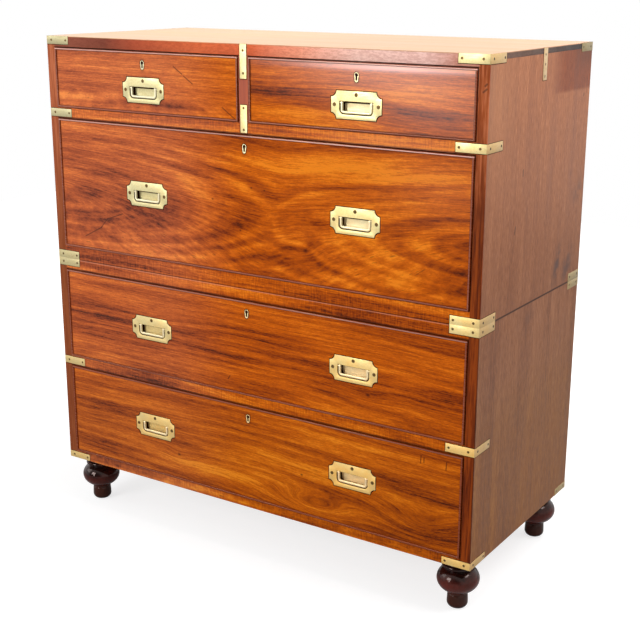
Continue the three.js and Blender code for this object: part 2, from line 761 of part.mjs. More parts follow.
// A mitred bead with a half round nose, carried round the four edges of a drawer front
function cockbead({ x0, x1, z0, z1 }) {
  const round = BEAD / 2;
  const nose = ellipseArc(round, round - BEAD_PROUD, round, round, Math.PI, 2 * Math.PI, BEAD_STEPS);
  const profile = [...nose, [BEAD, BEAD], [0, BEAD]];
  const points = profile.flatMap(([inset, y]) => [
    [x0 + inset, y, z0 + inset],
    [x1 - inset, y, z0 + inset],
    [x1 - inset, y, z1 - inset],
    [x0 + inset, y, z1 - inset],
  ]);
  const faces = [];
  for (let p = 0; p < profile.length; p++) {
    const q = (p + 1) % profile.length;
    for (let c = 0; c < 4; c++) {
      const d = (c + 1) % 4;
      faces.push(4 * p + c, 4 * p + d, 4 * q + d, 4 * p + c, 4 * q + d, 4 * q + c);
    }
  }
  const geometry = new THREE.BufferGeometry();
  geometry.setAttribute("position", new THREE.Float32BufferAttribute(points.flat(), 3));
  geometry.setIndex(faces);
  return toSolid(geometry);
}

// The dovetails that join one side of a drawer to its front, or their sockets when they are grown
function tails(side, drawer, grow) {
  const { x0, x1, z0, z1 } = frontFace(drawer);
  const outer = side > 0 ? x1 : x0;
  const inner = outer - side * (DRAWER_SIDE + grow);
  const edge = outer + side * (grow > 0 ? CUT : 0);
  const count = Math.max(1, Math.round((z1 - z0) / TAIL_PITCH));
  const pitch = (z1 - z0) / count;
  const shoulder = DRAWER_FRONT + FIT + CUT;
  const tip = DRAWER_FRONT - TAIL_LENGTH + FIT - grow;
  const spread = (shoulder - tip) * TAIL_SLOPE_SHARE;
  return Array.from({ length: count }, (_, n) => {
    const middle = z0 + (n + 0.5) * pitch;
    const wide = (pitch - PIN) / 2 + grow;
    const narrow = wide - spread;
    const tail = shapeOf([
      [tip, middle - wide],
      [shoulder, middle - narrow],
      [shoulder, middle + narrow],
      [tip, middle + wide],
    ]);
    return extrude(tail, "x", Math.min(inner, edge), Math.max(inner, edge));
  });
}

function bottomLevels(drawer) {
  const low = drawer.low + FIT + BOTTOM_RAISE;
  return { low, high: low + DRAWER_BOTTOM };
}

function drawerFront(drawer) {
  const face = frontFace(drawer);
  const { x0, x1, z0, z1 } = face;
  const lock = escutcheon(drawer.x, z1);
  const board = slab(x0, x1, 0, DRAWER_FRONT, z0, z1)
    .add(cockbead(face))
    .add(lock.plate)
    .add(lockCase(drawer.x, z1));
  const panel = bottomLevels(drawer);
  const y0 = DRAWER_FRONT - BOTTOM_TONGUE - FIT;
  const groove = slab(
    x0 + DRAWER_SIDE,
    x1 - DRAWER_SIDE,
    y0,
    DRAWER_FRONT + CUT,
    panel.low - FIT,
    panel.high + FIT,
  );
  const mortises = drawer.handles.map((x) => handleMortise(x, drawer.low + drawer.lift));
  const sockets = [-1, 1].flatMap((side) => tails(side, drawer, FIT));
  return cutAll(board, [groove, lock.hole, boltSlot(drawer.x, z1), ...mortises, ...sockets]);
}

// Two sides, a back let into them, and a bottom board in grooves of the sides and the front
function drawerBox(drawer) {
  const { x0, x1, z1 } = frontFace(drawer);
  const low = drawer.low + FIT;
  const rear = SHELF_BACK - REAR_GAP;
  const shoulder = DRAWER_FRONT + FIT;
  const panel = bottomLevels(drawer);
  const groove = DRAWER_SIDE - BOTTOM_TONGUE;
  const inset = DRAWER_SIDE + FIT;
  const pieces = [
    slab(x0, x0 + DRAWER_SIDE, shoulder, rear, low, z1),
    slab(x1, x1 - DRAWER_SIDE, shoulder, rear, low, z1),
    slab(x0 + groove, x1 - groove, rear - DRAWER_SIDE, rear, panel.low, z1 - BACK_DROP),
    slab(x0 + groove, x1 - groove, shoulder, rear, panel.low, panel.high),
    slab(x0 + inset, x1 - inset, DRAWER_FRONT - BOTTOM_TONGUE, rear, panel.low, panel.high),
    ...tails(-1, drawer, 0),
    ...tails(1, drawer, 0),
  ];
  return pieces.reduce((all, one) => all.add(one));
}

function addDrawers() {
  for (const drawer of drawers()) {
    const base = drawer.name + "_drawer";
    const top = frontFace(drawer).z1;
    addPiece(base + "_front", drawerFront(drawer), mahogany);
    addPiece(base + "_box", drawerBox(drawer), cedar);
    addPiece(base + "_lock_bolt", lockBolt(drawer.x, top), brass);
    drawer.handles.forEach((x, n) => {
      const hand = drawer.handles.length > 1 ? ["_left", "_right"][n] : "";
      const z = drawer.low + drawer.lift;
      addPiece(base + hand + "_handle_plate", handlePlate(x, z), brass);
      addPiece(base + hand + "_handle_bail", bail(x, z), brass);
    });
  }
}

addCases();
addStraps();
addFeet();
addDrawers();

// The chest stands on its feet, with the middle of its whole depth over the origin.
const proud = BRASS_PROUD - BEAD_PROUD;
chest.position.set(0, -(DEPTH + proud) / 2, FOOT_HEIGHT);
const whole = new THREE.Group();
whole.add(chest);
export default whole;
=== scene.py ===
"""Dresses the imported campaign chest: figured wood, brass let into it, turned feet, and a plain studio."""

import math

import bmesh
import bpy
from bpy.props import FloatProperty, FloatVectorProperty, IntProperty, PointerProperty
from mathutils import Matrix, Vector


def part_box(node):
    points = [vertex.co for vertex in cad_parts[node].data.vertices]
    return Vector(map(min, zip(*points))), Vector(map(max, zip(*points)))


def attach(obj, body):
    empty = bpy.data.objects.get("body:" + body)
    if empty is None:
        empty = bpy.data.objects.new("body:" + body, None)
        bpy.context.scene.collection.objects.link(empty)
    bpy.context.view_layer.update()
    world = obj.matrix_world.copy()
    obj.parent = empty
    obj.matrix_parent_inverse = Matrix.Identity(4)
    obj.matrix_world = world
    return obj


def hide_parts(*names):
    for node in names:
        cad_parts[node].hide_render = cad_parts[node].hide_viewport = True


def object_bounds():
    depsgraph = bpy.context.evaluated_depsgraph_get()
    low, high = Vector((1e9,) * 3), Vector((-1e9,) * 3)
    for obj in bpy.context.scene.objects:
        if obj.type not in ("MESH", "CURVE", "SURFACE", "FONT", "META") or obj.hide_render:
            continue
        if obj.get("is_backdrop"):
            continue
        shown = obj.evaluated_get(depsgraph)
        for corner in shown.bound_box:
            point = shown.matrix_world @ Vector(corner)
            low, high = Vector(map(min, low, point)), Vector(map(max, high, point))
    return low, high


bl_info = {
    "name": "Campaign Chest",
    "version": (1, 0, 0),
    "blender": (4, 5, 0),
    "location": "3D Viewport > Sidebar > Chest",
    "description": "Figured wood, brass and turned feet for a campaign chest in two cases",
    "category": "Object",
}

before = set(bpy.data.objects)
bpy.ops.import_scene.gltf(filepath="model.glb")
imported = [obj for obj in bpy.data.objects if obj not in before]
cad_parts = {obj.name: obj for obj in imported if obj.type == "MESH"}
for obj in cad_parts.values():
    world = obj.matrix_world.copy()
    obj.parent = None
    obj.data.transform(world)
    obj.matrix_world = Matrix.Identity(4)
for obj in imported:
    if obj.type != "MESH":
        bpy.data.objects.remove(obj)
CAD_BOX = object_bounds()

MM = 0.001
SIDES = {"left": -1, "right": 1}
ONE_HANDLE, TWO_HANDLES = ("",), ("left_", "right_")
DRAWERS = {
    "short_left": ONE_HANDLE,
    "short_right": ONE_HANDLE,
    "deep": TWO_HANDLES,
    "middle": TWO_HANDLES,
    "bottom": TWO_HANDLES,
}
FRONT_STRAPS = {
    "strap_base": "lower_case",
    "strap_lower_rail": "lower_case",
    "strap_seam_lower": "lower_case",
    "strap_seam_upper": "upper_case",
    "strap_upper_rail": "upper_case",
    "strap_top": "upper_case",
}
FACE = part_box("lower_left_side")[0].y  # the plane of the case's front
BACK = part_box("upper_top_board")[1].y
MIDDLE = (FACE + BACK) / 2
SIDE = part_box("upper_top_board")[1].x
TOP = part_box("upper_top_board")[1].z
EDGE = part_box("upper_right_side")[1].x  # the outer face of the brass on the sides
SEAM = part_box("lower_left_side")[1].z
BRASS_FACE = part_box("strap_top_left")[0].y
BRASS_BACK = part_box("upper_left_side")[1].y

REAR_WING = 54 * MM  # how far the rear straps reach round their corners
FRONT_STRIP, SIDE_STRIP = 15.5 * MM, 17.5 * MM  # widths of the short strips
TOP_STRIP_LONG, RAIL_STRIP_LONG, SIDE_STRIP_LONG = 63 * MM, 52 * MM, 57 * MM
STRIP_ROUND = 1.5 * MM  # at the strips' lower corners
RAIL_STRIP_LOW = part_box("upper_drawer_rail")[0].z + 1.5 * MM
KEYHOLE_DROP = 21.75 * MM  # from a front's top edge to the middle of its keyhole
LOCK_DEEP = 23.05 * MM  # from the case's front to the back of the lock plates
ROUGH_WOOD = dict(gloss=0.6, specular=0.2)


# Sizes and colours that a user would change


def length(name, words, default):
    return FloatProperty(name=name, description=words, default=default * MM, min=0, precision=5, unit="LENGTH")


def linear(level):
    share = level / 255
    return share / 12.92 if share <= 0.04045 else ((share + 0.055) / 1.055) ** 2.4


def paint(*levels):
    """A colour from its red, green and blue out of 255."""
    return tuple(linear(level) for level in levels)


def colour(name, words, *levels):
    return FloatVectorProperty(name=name, description=words, default=paint(*levels), min=0, max=1, subtype="COLOR")


class ChestSizes(bpy.types.PropertyGroup):
    bead: length("Cockbead", "Width of the bead round each drawer", 4)
    plate: length("Handle plate", "Thickness of the plate let into the drawer", 2)
    scoop: length("Scoop", "Radius of the hollow at each corner of a handle plate", 11)
    recess_width: length("Recess width", "Opening in the handle plate", 69.5)
    recess_height: length("Recess height", "Opening in the handle plate", 23.25)
    recess_drop: length("Recess drop", "From the plate's top edge to the opening", 18)
    recess_round: length("Recess corner", "Radius of the opening's lower corners", 9)
    dish: length("Dish", "Depth of the pocket behind the bail", 11)
    dish_wall: length("Dish wall", "Thickness of the pocket's wall", 1.2)
    bail_width: length("Bail width", "Width of the bail seen from the front", 4.6)
    bail: length("Bail thickness", "Thickness of the bail from front to back", 4.4)
    bail_gap: length("Bail gap", "Space round the bail in its opening", 2.4)
    strap: length("Strap", "Thickness of the corner straps", 2)
    strip: length("Strip", "Thickness of the short strips and keyhole plates", 1.2)
    brass_ease: length("Eased brass", "Width of the worn edge on the brass", 0.35)
    plate_screw: length("Plate screw", "Width of the screws in the handle plates", 7)
    strap_screw: length("Strap screw", "Width of the screws in the straps", 4.8)
    lock_screw: length("Lock screw", "Width of the screws in the lock plates", 4.5)
    foot_sides: IntProperty(name="Foot facets", description="Steps round each turned foot", default=72, min=12)
    # The dark line round the brass is polish and painted shade together
    polish_line: length("Old polish", "Width of the dark line round the brass", 1.1)
    screw_turns: IntProperty(name="Screw turns", description="Seed for how the screw slots lie", default=7)


class ChestColours(bpy.types.PropertyGroup):
    front_bright: colour("Front, bright", "Brightest bands of the drawer fronts", 240, 134, 24)
    front_light: colour("Front, light", "Light bands of the drawer fronts", 212, 102, 6)
    front_mid: colour("Front, middle", "Ground colour of the drawer fronts", 184, 81, 2)
    front_dark: colour("Front, dark", "Dark bands of the drawer fronts", 130, 48, 4)
    front_deep: colour("Front, deepest", "Streaks, knots and cracks", 74, 24, 8)
    # The next colour is the beads' painted highlight
    bead_highlight: colour("Bead, rubbed", "Where the polish on the beads has rubbed pale", 240, 192, 180)
    side_light: colour("Side, light", "Light lines of the case sides", 194, 129, 92)
    side_mid: colour("Side, middle", "Ground colour of the case sides", 163, 100, 66)
    side_dark: colour("Side, dark", "Dark lines of the case sides", 127, 69, 42)
    top_light: colour("Top, light", "Light lines of the top", 226, 188, 147)
    top_mid: colour("Top, middle", "Ground colour of the top", 211, 169, 129)
    top_dark: colour("Top, dark", "Dark lines of the top", 190, 145, 104)
    lining_light: colour("Lining, light", "Light lines of the drawer linings", 196, 142, 88)
    lining_mid: colour("Lining, middle", "Ground colour of the drawer linings", 168, 112, 64)
    lining_dark: colour("Lining, dark", "Dark lines of the drawer linings", 122, 76, 40)
    foot: colour("Feet", "Stained wood of the turned feet", 26, 10, 8)
    foot_worn: colour("Feet, worn", "Where the stain has worn thin", 98, 34, 24)
    brass_pale: colour("Brass, polished", "Polished brass", 248, 232, 170)
    brass_deep: colour("Brass, golden", "Brass with some tarnish", 255, 206, 116)
    brass_grey: colour("Brass, dulled", "Brass that has dulled to a grey green", 214, 208, 164)
    brass_dark: colour("Brass, dark", "Tarnish in the corners", 110, 78, 30)
    screw: colour("Screws", "Dulled heads of the screws", 124, 94, 50)
    # The next colour serves the dark line round the brass, polish and painted shade together, and the painted shade
    # in the handles' dishes and the keyholes
    old_polish: colour("Old polish", "Dark polish left round the brass", 40, 16, 5)
    floor: colour("Floor", "Studio floor", 160, 160, 160)


# Node materials


class Field:
    """What a node gives, so that sums of such values read as sums."""

    def __init__(self, nodes, socket):
        self.nodes, self.socket = nodes, socket

    def __add__(self, other):
        return self.nodes.math("ADD", self, other)

    def __sub__(self, other):
        return self.nodes.math("SUBTRACT", self, other)

    def __rsub__(self, other):
        return self.nodes.math("SUBTRACT", other, self)

    def __mul__(self, other):
        return self.nodes.math("MULTIPLY", self, other)

    def __abs__(self):
        return self.nodes.math("ABSOLUTE", self)

    __radd__, __rmul__ = __add__, __mul__


class Nodes:
    """A node tree, with short names for the nodes that are used most."""

    def __init__(self, tree):
        self.tree = tree
        tree.nodes.clear()

    def feed(self, socket, value):
        if isinstance(value, Field):
            self.tree.links.new(value.socket, socket)
        else:
            socket.default_value = value

    def make(self, kind, *values, at=None, **settings):
        """A new node, its inputs fed in order by values, and by name or number by at."""
        made = self.tree.nodes.new(kind)
        for key, value in settings.items():
            setattr(made, key, value)
        for socket, value in zip(made.inputs, values):
            self.feed(socket, value)
        for key, value in (at or {}).items():
            self.feed(made.inputs[key], value)
        return made

    def get(self, kind, *values, out=0, **more):
        """One of the things that a new node gives."""
        return Field(self, self.make(kind, *values, **more).outputs[out])

    def all(self, kind, *values):
        """Everything that a new node gives, by name."""
        return {socket.name: Field(self, socket) for socket in self.make(kind, *values).outputs}

    def math(self, kind, *values, clamp=False):
        return self.get("ShaderNodeMath", *values, operation=kind, use_clamp=clamp)

    def vector(self, kind, *values, out=0, **more):
        return self.get("ShaderNodeVectorMath", *values, out=out, operation=kind, **more)

    def join(self, x, y, z=0.0):
        return self.get("ShaderNodeCombineXYZ", x, y, z)

    def split(self, vector):
        return list(self.all("ShaderNodeSeparateXYZ", vector).values())

    def noise(self, place, scale=1.0, detail=2.0, rough=0.5, shift=(0, 0, 0)):
        """Smooth chance from 0 to 1. A scale of three numbers stretches it along each axis."""
        if isinstance(scale, tuple):
            place, scale = self.vector("MULTIPLY_ADD", place, scale, shift), 1.0
        at = {"Vector": place, "Scale": scale, "Detail": detail, "Roughness": rough}
        return self.get("ShaderNodeTexNoise", at=at, out="Fac")

    def remap(self, value, low, high, to_low=0.0, to_high=1.0):
        return self.get("ShaderNodeMapRange", value, low, high, to_low, to_high, interpolation_type="SMOOTHSTEP")

    def near(self, value, place, full, none, most=1.0):
        """Most within full millimetres of a place, and nought past none."""
        return self.remap(abs(value - place), full * MM, none * MM, most, 0.0)

    def choose(self, factor, first, second):
        return self.get("ShaderNodeMix", at={0: factor, 2: first, 3: second})

    def ramp(self, factor, stops):
        made = self.make("ShaderNodeValToRGB", factor)
        elements = made.color_ramp.elements
        while len(elements) < len(stops):
            elements.new(1)
        for element, (place, tint) in zip(elements, stops):
            element.position, element.color = place, (*tint, 1)
        return Field(self, made.outputs[0])

    def mix(self, factor, first, second, kind="MIX", clamp=True):
        first, second = (v if isinstance(v, Field) else (*v, 1)[:4] for v in (first, second))
        at = {0: factor, 6: first, 7: second}
        return self.get("ShaderNodeMix", at=at, out=2, data_type="RGBA", blend_type=kind, clamp_factor=clamp)


class Shade(Nodes):
    """The nodes of one material."""

    def __init__(self, name):
        self.material = bpy.data.materials.new(name)
        self.material.use_nodes = True
        super().__init__(self.material.node_tree)
        self.place = self.get("ShaderNodeTexCoord", out="Object")

    def blend(self, first, second, value, low, high, most=1.0, kind="MIX"):
        """The first colour turning to the second as a value runs from low to high."""
        return self.mix(self.remap(value, low, high, 0.0, most), first, second, kind)

    def swell(self, flat, x, z, wide, high, amount):
        """A soft round hill at a place, in millimetres, its height given by amount."""
        at = self.vector("MULTIPLY_ADD", flat, (1 / wide / MM, 1 / high / MM, 0), (-x / wide, -z / high, 0))
        return self.math("POWER", math.exp(-1), self.vector("DOT_PRODUCT", at, at, out=1)) * amount

    def crack(self, flat, x0, z0, x1, z1, width):
        """One along a thin line between two places, in millimetres, and nought elsewhere."""
        run = Vector((x1 - x0, z1 - z0, 0)) * MM
        away = self.vector("SUBTRACT", flat, (x0 * MM, z0 * MM, 0))
        share = self.vector("DOT_PRODUCT", away, run, out=1)
        share = self.math("MULTIPLY", share, 1 / run.length_squared, clamp=True)
        nearest = self.vector("SCALE", run, at={"Scale": share})
        far = self.vector("LENGTH", self.vector("SUBTRACT", away, nearest), out=1)
        return self.remap(far, width * 0.4 * MM, width * MM, 1.0, 0.0)

    def gap_shade_lines(self, z, above=2.2, full=1.0, none=2.8):
        """Painted shade: dark lines on the case just above each row of drawers, where the gap over each drawer falls
        in shadow.
        """
        tops = {round(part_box(f"{name}_drawer_front")[1].z, 5) for name in DRAWERS}
        return [self.near(z, top + above * MM, full, none, 0.7) for top in sorted(tops)]

    def box_grain(self, x, y, z, lo, hi):
        """Where a drawer box's grain runs: front to back on its sides, and across on its back and bottom."""
        thick, bottom, soft = 13 * MM, lo.z + 20 * MM, 2 * MM
        reach = (hi.x - lo.x) / 2 - thick
        behind = self.remap(y, hi.y - thick, hi.y - thick + 1 * MM)
        inside = self.near(x, (lo.x + hi.x) / 2, reach / MM, reach / MM + 1)
        flat = self.remap(z, bottom, bottom + soft, 1.0, 0.0) * inside * (1.0 - behind)
        turned = self.math("MAXIMUM", behind * inside, flat)
        return y + turned * (x - y), z + flat * (y - z), (1.0 - turned) * x

    def finish(self, tint, rough, height, deep, strong=0.5, **plain):
        """The material itself. deep is how far in millimetres the height stands out."""
        bump = self.get("ShaderNodeBump", at={"Strength": strong, "Distance": deep * MM, "Height": height})
        shader = self.make("ShaderNodeBsdfPrincipled", at={"Base Color": tint, "Roughness": rough, "Normal": bump})
        for key, value in plain.items():
            shader.inputs[key.replace("_", " ")].default_value = value
        self.make("ShaderNodeOutputMaterial", Field(self, shader.outputs[0]))
        return self.material

    def varnished(self, tint, rough, height, specular, deep=0.12):
        """A finish whose gloss is as warm as old shellac."""
        warm = dict(Specular_IOR_Level=specular, Specular_Tint=(1, 0.74, 0.46, 1))
        return self.finish(tint, rough, height, deep, **warm)


# Where the figure of each board lies, in millimetres across (x) and up (z) on the front.
# painted_haze: how strongly a painted reflection, a grey haze that takes away some red, lies over the left part;
# lift: lighter or darker than the other boards
# follow: how closely the fine lines follow the rings
# hearts: x, z, how fast the rings open, how far behind the first heart this one comes
# swells: x, z, half width, half height, push on the rings
# patches: x, z, half width, half height, lighter or darker; veils: the same, for a painted sheen of reflected light
# knots: x, z, size
# cracks: x, z to x, z
FIGURES = {
    "short_left": {
        "painted_haze": 0.95,
        "lift": 0.1,
        "hearts": [(-470, 925, 0.05, 0)],
        "swells": [(-150, 955, 60, 20, 3), (-300, 985, 90, 16, -4)],
        "patches": [
            (-140, 948, 60, 20, 0.2), (-330, 930, 60, 24, 0.1), (-180, 902, 70, 10, -0.2),
            (-430, 945, 50, 20, -0.12), (-415, 902, 90, 12, 0.3), (-120, 932, 80, 8, -0.24),
            (-200, 905, 120, 8, -0.2), (-330, 992, 120, 8, -0.1),
        ],
        "cracks": [(-165, 975, -145, 962), (-140, 958, -120, 945), (-50, 905, -20, 885)],
    },
    "short_right": {
        "painted_haze": 0,
        "lift": 0.1,
        "hearts": [(-500, 860, 0.05, 0)],
        "swells": [(90, 960, 90, 20, 5), (360, 900, 120, 24, 8)],
        "patches": [
            (360, 950, 90, 16, 0.2), (160, 970, 90, 14, 0.12), (85, 943, 90, 7, -0.26), (400, 920, 90, 9, -0.26),
            (150, 905, 120, 12, 0.2), (60, 980, 70, 16, 0.2), (300, 955, 150, 9, 0.2),
        ],
        "veils": [(310, 990, 200, 46, 1), (400, 925, 160, 60, 0.5), (310, 993, 170, 6, 3)],
    },
    "deep": {
        "painted_haze": 0.85,
        "lift": -0.01,
        "hearts": [(-500, 712, 0.2, 0), (540, 700, 0.22, 6)],
        "swells": [
            (137, 655, 34, 20, 9), (172, 705, 40, 26, 9), (0, 780, 140, 20, -5), (-260, 640, 120, 30, 5),
            (300, 800, 160, 30, 8),
        ],
        "patches": [
            (-340, 715, 150, 60, -0.14), (-400, 640, 90, 30, -0.14), (-330, 825, 160, 18, -0.16),
            (290, 826, 150, 20, 0.24), (60, 805, 110, 24, 0.1), (20, 660, 90, 24, 0.12), (430, 720, 50, 60, -0.08),
            (335, 625, 50, 24, 0.1), (190, 812, 190, 18, 0.3), (300, 790, 190, 40, 0.12), (320, 625, 150, 26, 0.3),
            (20, 615, 130, 30, -0.12), (320, 690, 90, 34, 0.14), (-40, 700, 130, 40, -0.16),
            (150, 668, 16, 14, -0.3), (-400, 808, 120, 7, 0.22), (-50, 786, 90, 6, -0.25), (172, 705, 22, 12, -0.2),
            (430, 640, 90, 40, -0.08), (60, 625, 90, 18, -0.12), (-400, 700, 100, 44, -0.14),
            (-440, 790, 60, 26, -0.14), (-215, 705, 80, 40, -0.12), (450, 692, 50, 26, -0.1),
            (-250, 740, 90, 8, 0.2),
        ],
        "veils": [(420, 800, 110, 60, 0.12)],
        "knots": [(137, 655, 3.4), (15, 760, 2), (45, 758, 1.8), (-77, 730, 1.8), (-12, 676, 1.8)],
        "cracks": [(-415, 617, -370, 640), (-370, 640, -352, 660), (-352, 660, -310, 675)],
    },
    "middle": {
        "painted_haze": 0.6,
        "lift": -0.01,
        "hearts": [(-430, 345, 0.06, 0)],
        "swells": [
            (40, 470, 180, 26, -8), (60, 385, 150, 24, -8), (-260, 470, 120, 30, 5), (275, 400, 46, 16, 10),
        ],
        "patches": [
            (-400, 455, 90, 56, -0.22), (-140, 445, 50, 20, -0.12), (-235, 500, 80, 26, -0.12),
            (-280, 425, 100, 30, -0.12), (130, 505, 90, 18, 0.14), (240, 505, 120, 20, 0.08),
            (430, 440, 60, 30, -0.14), (150, 375, 150, 18, -0.22), (-365, 360, 60, 12, 0.4), (20, 522, 130, 8, 0.2),
            (30, 480, 150, 5, -0.2), (60, 404, 150, 5, -0.18), (-60, 418, 60, 5, -0.16), (60, 372, 90, 4, -0.2),
            (-60, 450, 140, 8, 0.14),
        ],
        "knots": [(275, 400, 3)],
        "cracks": [(-48, 371, -43, 379)],
    },
    "bottom": {
        "follow": 1,
        "painted_haze": 0.3,
        "lift": 0,
        "hearts": [(-700, 90, 0.06, 0)],
        "swells": [
            (155, 150, 90, 24, 38), (400, 170, 90, 34, 30), (-180, 180, 30, 16, 7), (-20, 250, 160, 30, -6),
        ],
        "patches": [
            (-50, 160, 90, 16, 0.14), (150, 285, 120, 22, 0.16), (50, 240, 60, 22, 0.1), (335, 235, 90, 50, -0.14),
            (-400, 285, 110, 24, -0.12), (-110, 168, 120, 9, 0.3), (40, 160, 120, 26, 0.14),
            (400, 160, 110, 34, -0.2), (60, 232, 220, 26, 0.16), (-410, 220, 90, 40, -0.16),
        ],
        "knots": [(-180, 180, 3), (128, 207, 2)],
        "cracks": [(388, 292, 389, 306), (395, 294, 395, 304), (440, 290, 441, 305)],
    },
    "rails": {
        "painted_haze": 0.7,
        "lift": 0.02,
        "hearts": [(-900, 300, 0.06, 0)],
        "patches": [
            (340, 555, 240, 12, -0.1), (60, 553, 130, 10, 0.1), (330, 571, 260, 12, -0.16),
            (-420, 556, 110, 12, -0.2), (-80, 553, 240, 8, 0.3), (0, 869, 600, 14, 0.2), (0, 572, 420, 8, -0.12),
            (-420, 869, 120, 14, -0.1), (-420, 334, 110, 12, -0.16),
        ],
        "veils": [(330, 869, 170, 20, 0.3), (-60, 869, 200, 20, 0.12)],
    },
}

# The colour of the top board's front edge, by its place along the edge from left to right; its pale right part is
# wood with a painted sheen over it
TOP_EDGE = [
    (0.08, paint(142, 76, 58)),
    (0.16, paint(124, 60, 46)),
    (0.24, paint(176, 78, 50)),
    (0.4, paint(222, 106, 60)),
    (0.52, paint(226, 104, 62)),
    (0.62, paint(255, 164, 132)),
    (0.74, paint(255, 210, 196)),
    (0.88, paint(255, 210, 200)),
    (0.94, paint(218, 150, 132)),
]
# How the light dims the top from left to right, and the sides and their brass by height and depth
TOP_SHINE = [(0.1, (1, 1, 1)), (0.35, (1, 0.93, 0.93)), (0.68, (0.88, 0.77, 0.76)), (1.0, (0.84, 0.73, 0.7))]
SIDE_SHADE = [
    (0.13, (0.7, 0.7, 0.4)),
    (0.36, (0.72, 0.78, 0.64)),
    (0.45, (0.75, 0.83, 0.85)),
    (0.56, (0.78, 0.86, 0.92)),
    (0.95, (1, 1, 1)),
]
SIDE_BRASS = [(0.3, (0.68, 0.44, 0.2)), (0.5, (0.66, 0.45, 0.26)), (0.68, (0.42, 0.32, 0.18))]
# The stiles' dark, middle and light streaks, low and high on the case
STILE_LOW = [(0.4, paint(88, 26, 2)), (0.5, paint(120, 44, 3)), (0.6, paint(144, 60, 8))]
STILE_HIGH = [(0.4, paint(140, 52, 3)), (0.5, paint(170, 80, 36)), (0.6, paint(196, 108, 68))]
# Damp stains on the right side, in millimetres: leaning y, z, half width, half height, strength
SIDE_STAINS = [(-105, 610, 14, 35, 0.8), (-50, 600, 22, 30, 0.7), (-65, 745, 20, 20, 0.5), (-195, 535, 20, 12, 0.3)]
# Small cuts in the side and nicks in the stile, from one place to another
SIDE_MARKS = [(-72, 806, -72, 816), (-96, 706, -94, 718), (196, 925, 197, 928)]
STILE_MARKS = [(484, 962, 490, 967), (487, 972, 490, 975)]
JOINT_DARK = (0.02, 0.01, 0.008)


def figured_wood(name, figure, stops, fleck=0.0, seed=0.0, border=None):
    """Flat-sawn wood on a front: rings that open round hearts, knots, pores and fine fibre.

    fleck: strength of the flecks across the rails; border: bounds of a drawer front, darkened at its rim by dirt and
    painted shade along the bead, and by painted shade inside its keyhole.
    """
    shade = Shade(name)
    x, y, z = shade.split(shade.place)
    flat = shade.join(x, z)
    wander = shade.noise(flat, (2.4, 6, 1), shift=(seed, seed, seed))
    shiver = shade.noise(flat, (15, 26, 1), shift=(seed, 0, seed))
    rings = None
    for hx, hz, opening, behind in figure["hearts"]:
        at = shade.vector("MULTIPLY_ADD", flat, (opening, 1, 0), (-hx * MM * opening, -hz * MM, 0))
        ring = shade.vector("LENGTH", at, out=1) + behind * MM
        rings = ring if rings is None else shade.math("SMOOTH_MIN", rings, ring, 12 * MM)
    rings = rings + wander * (24 * MM) + shiver * (3 * MM) + y * 0.4
    for *hill, push in figure.get("swells", ()):
        rings = rings + shade.swell(flat, *hill, push * MM)
    follow = figure.get("follow", 0.5)
    run = rings * follow + z * (1.1 - follow)

    def layer(along, across, detail=2.0, by=rings):
        return shade.noise(shade.join(x * along, by * across, seed), detail=detail) - 0.5

    broad, bands = layer(1.2, 20, 3), layer(2.4, 95)
    lines, fibre = layer(9, 300, by=run), layer(40, 620, by=run)
    cloud = shade.noise(flat, (3.4, 20, 1), 3, 0.6, (seed, 3, seed)) - 0.5
    speck = shade.noise(flat, (150, 420, 1), 3, 0.7, (seed, 5, seed)) - 0.5
    tone = broad + 0.5 + figure["lift"] + bands * 1.15 + lines * 0.6 + fibre * 0.8 + cloud * 0.8 + speck * 0.6
    if fleck:
        tone = tone + (shade.noise(flat, (330, 45, 1)) - 0.5) * fleck
    for patch in figure["patches"]:
        tone = tone + shade.swell(flat, *patch)
    tint = shade.ramp(tone, stops)
    streak = shade.remap(layer(2.6, 120), 0.14, 0.34, 0.0, 0.14)
    pores = shade.remap(layer(60, 1900, 1, by=run), 0.14, 0.24, 0.0, 0.5)
    dark = shade.math("MAXIMUM", streak, pores)
    for kx, kz, size in figure.get("knots", ()):
        dark = dark + shade.swell(flat, kx, kz, size * 1.3, size, 0.9)
    for crack in figure.get("cracks", ()):
        dark = dark + shade.crack(flat, *crack, 1.6) * 0.7
    if border:
        lo, hi = border
        across = shade.math("MINIMUM", x - lo.x, hi.x - x)
        along = shade.math("MINIMUM", z - lo.z, hi.z - z)
        # Dirt and painted shade: a dark rim just inside the bead
        rim = shade.remap(shade.math("MINIMUM", across, along), 4.2 * MM, 5.6 * MM, 0.6, 0.0)
        # Painted shade: the wood seen through the keyhole turns dark
        keyhole = shade.swell(flat, (lo.x + hi.x) / 2 / MM, hi.z / MM - 26, 4, 7.5, 2.5)
        dark = shade.math("ADD", shade.math("MAXIMUM", dark, rim), keyhole, clamp=True)
    if fleck:
        # Painted shade in the gaps above the drawers, and the dark joint at the seam
        dark = sum(shade.gap_shade_lines(z), dark + shade.near(z, SEAM, 0.5, 1.4, 0.8))
    tint = shade.mix(dark, tint, stops[0][1])
    tint = shade.blend(tint, (0.84, 1, 1), z, 0.45, 0.2, 0.6, "MULTIPLY")
    if fleck:
        tint = shade.mix(shade.near(z, SEAM - 2.2 * MM, 0.4, 1.3, 0.45), tint, paint(222, 150, 118))
    # Painted reflection: a grey haze laid over the left part of the board
    red = shade.split(tint)[0]
    haze = shade.join(0.0, red * 0.03 + 0.014, red * 0.055 + 0.014)
    tint = shade.blend(tint, haze, x, 0.0, -0.22, figure["painted_haze"], "ADD")
    # Painted sheen: reflected light added over the wood's colour
    for sheen in figure.get("veils", ()):
        tint = shade.mix(shade.swell(flat, *sheen), tint, (0.16, 0.16, 0.17), "ADD", clamp=False)
    rough = shade.remap(lines + cloud, -0.3, 0.3, 0.28, 0.42)
    return shade.varnished(tint, rough, fibre * 0.5 - pores + lines * 0.6, 0.16)


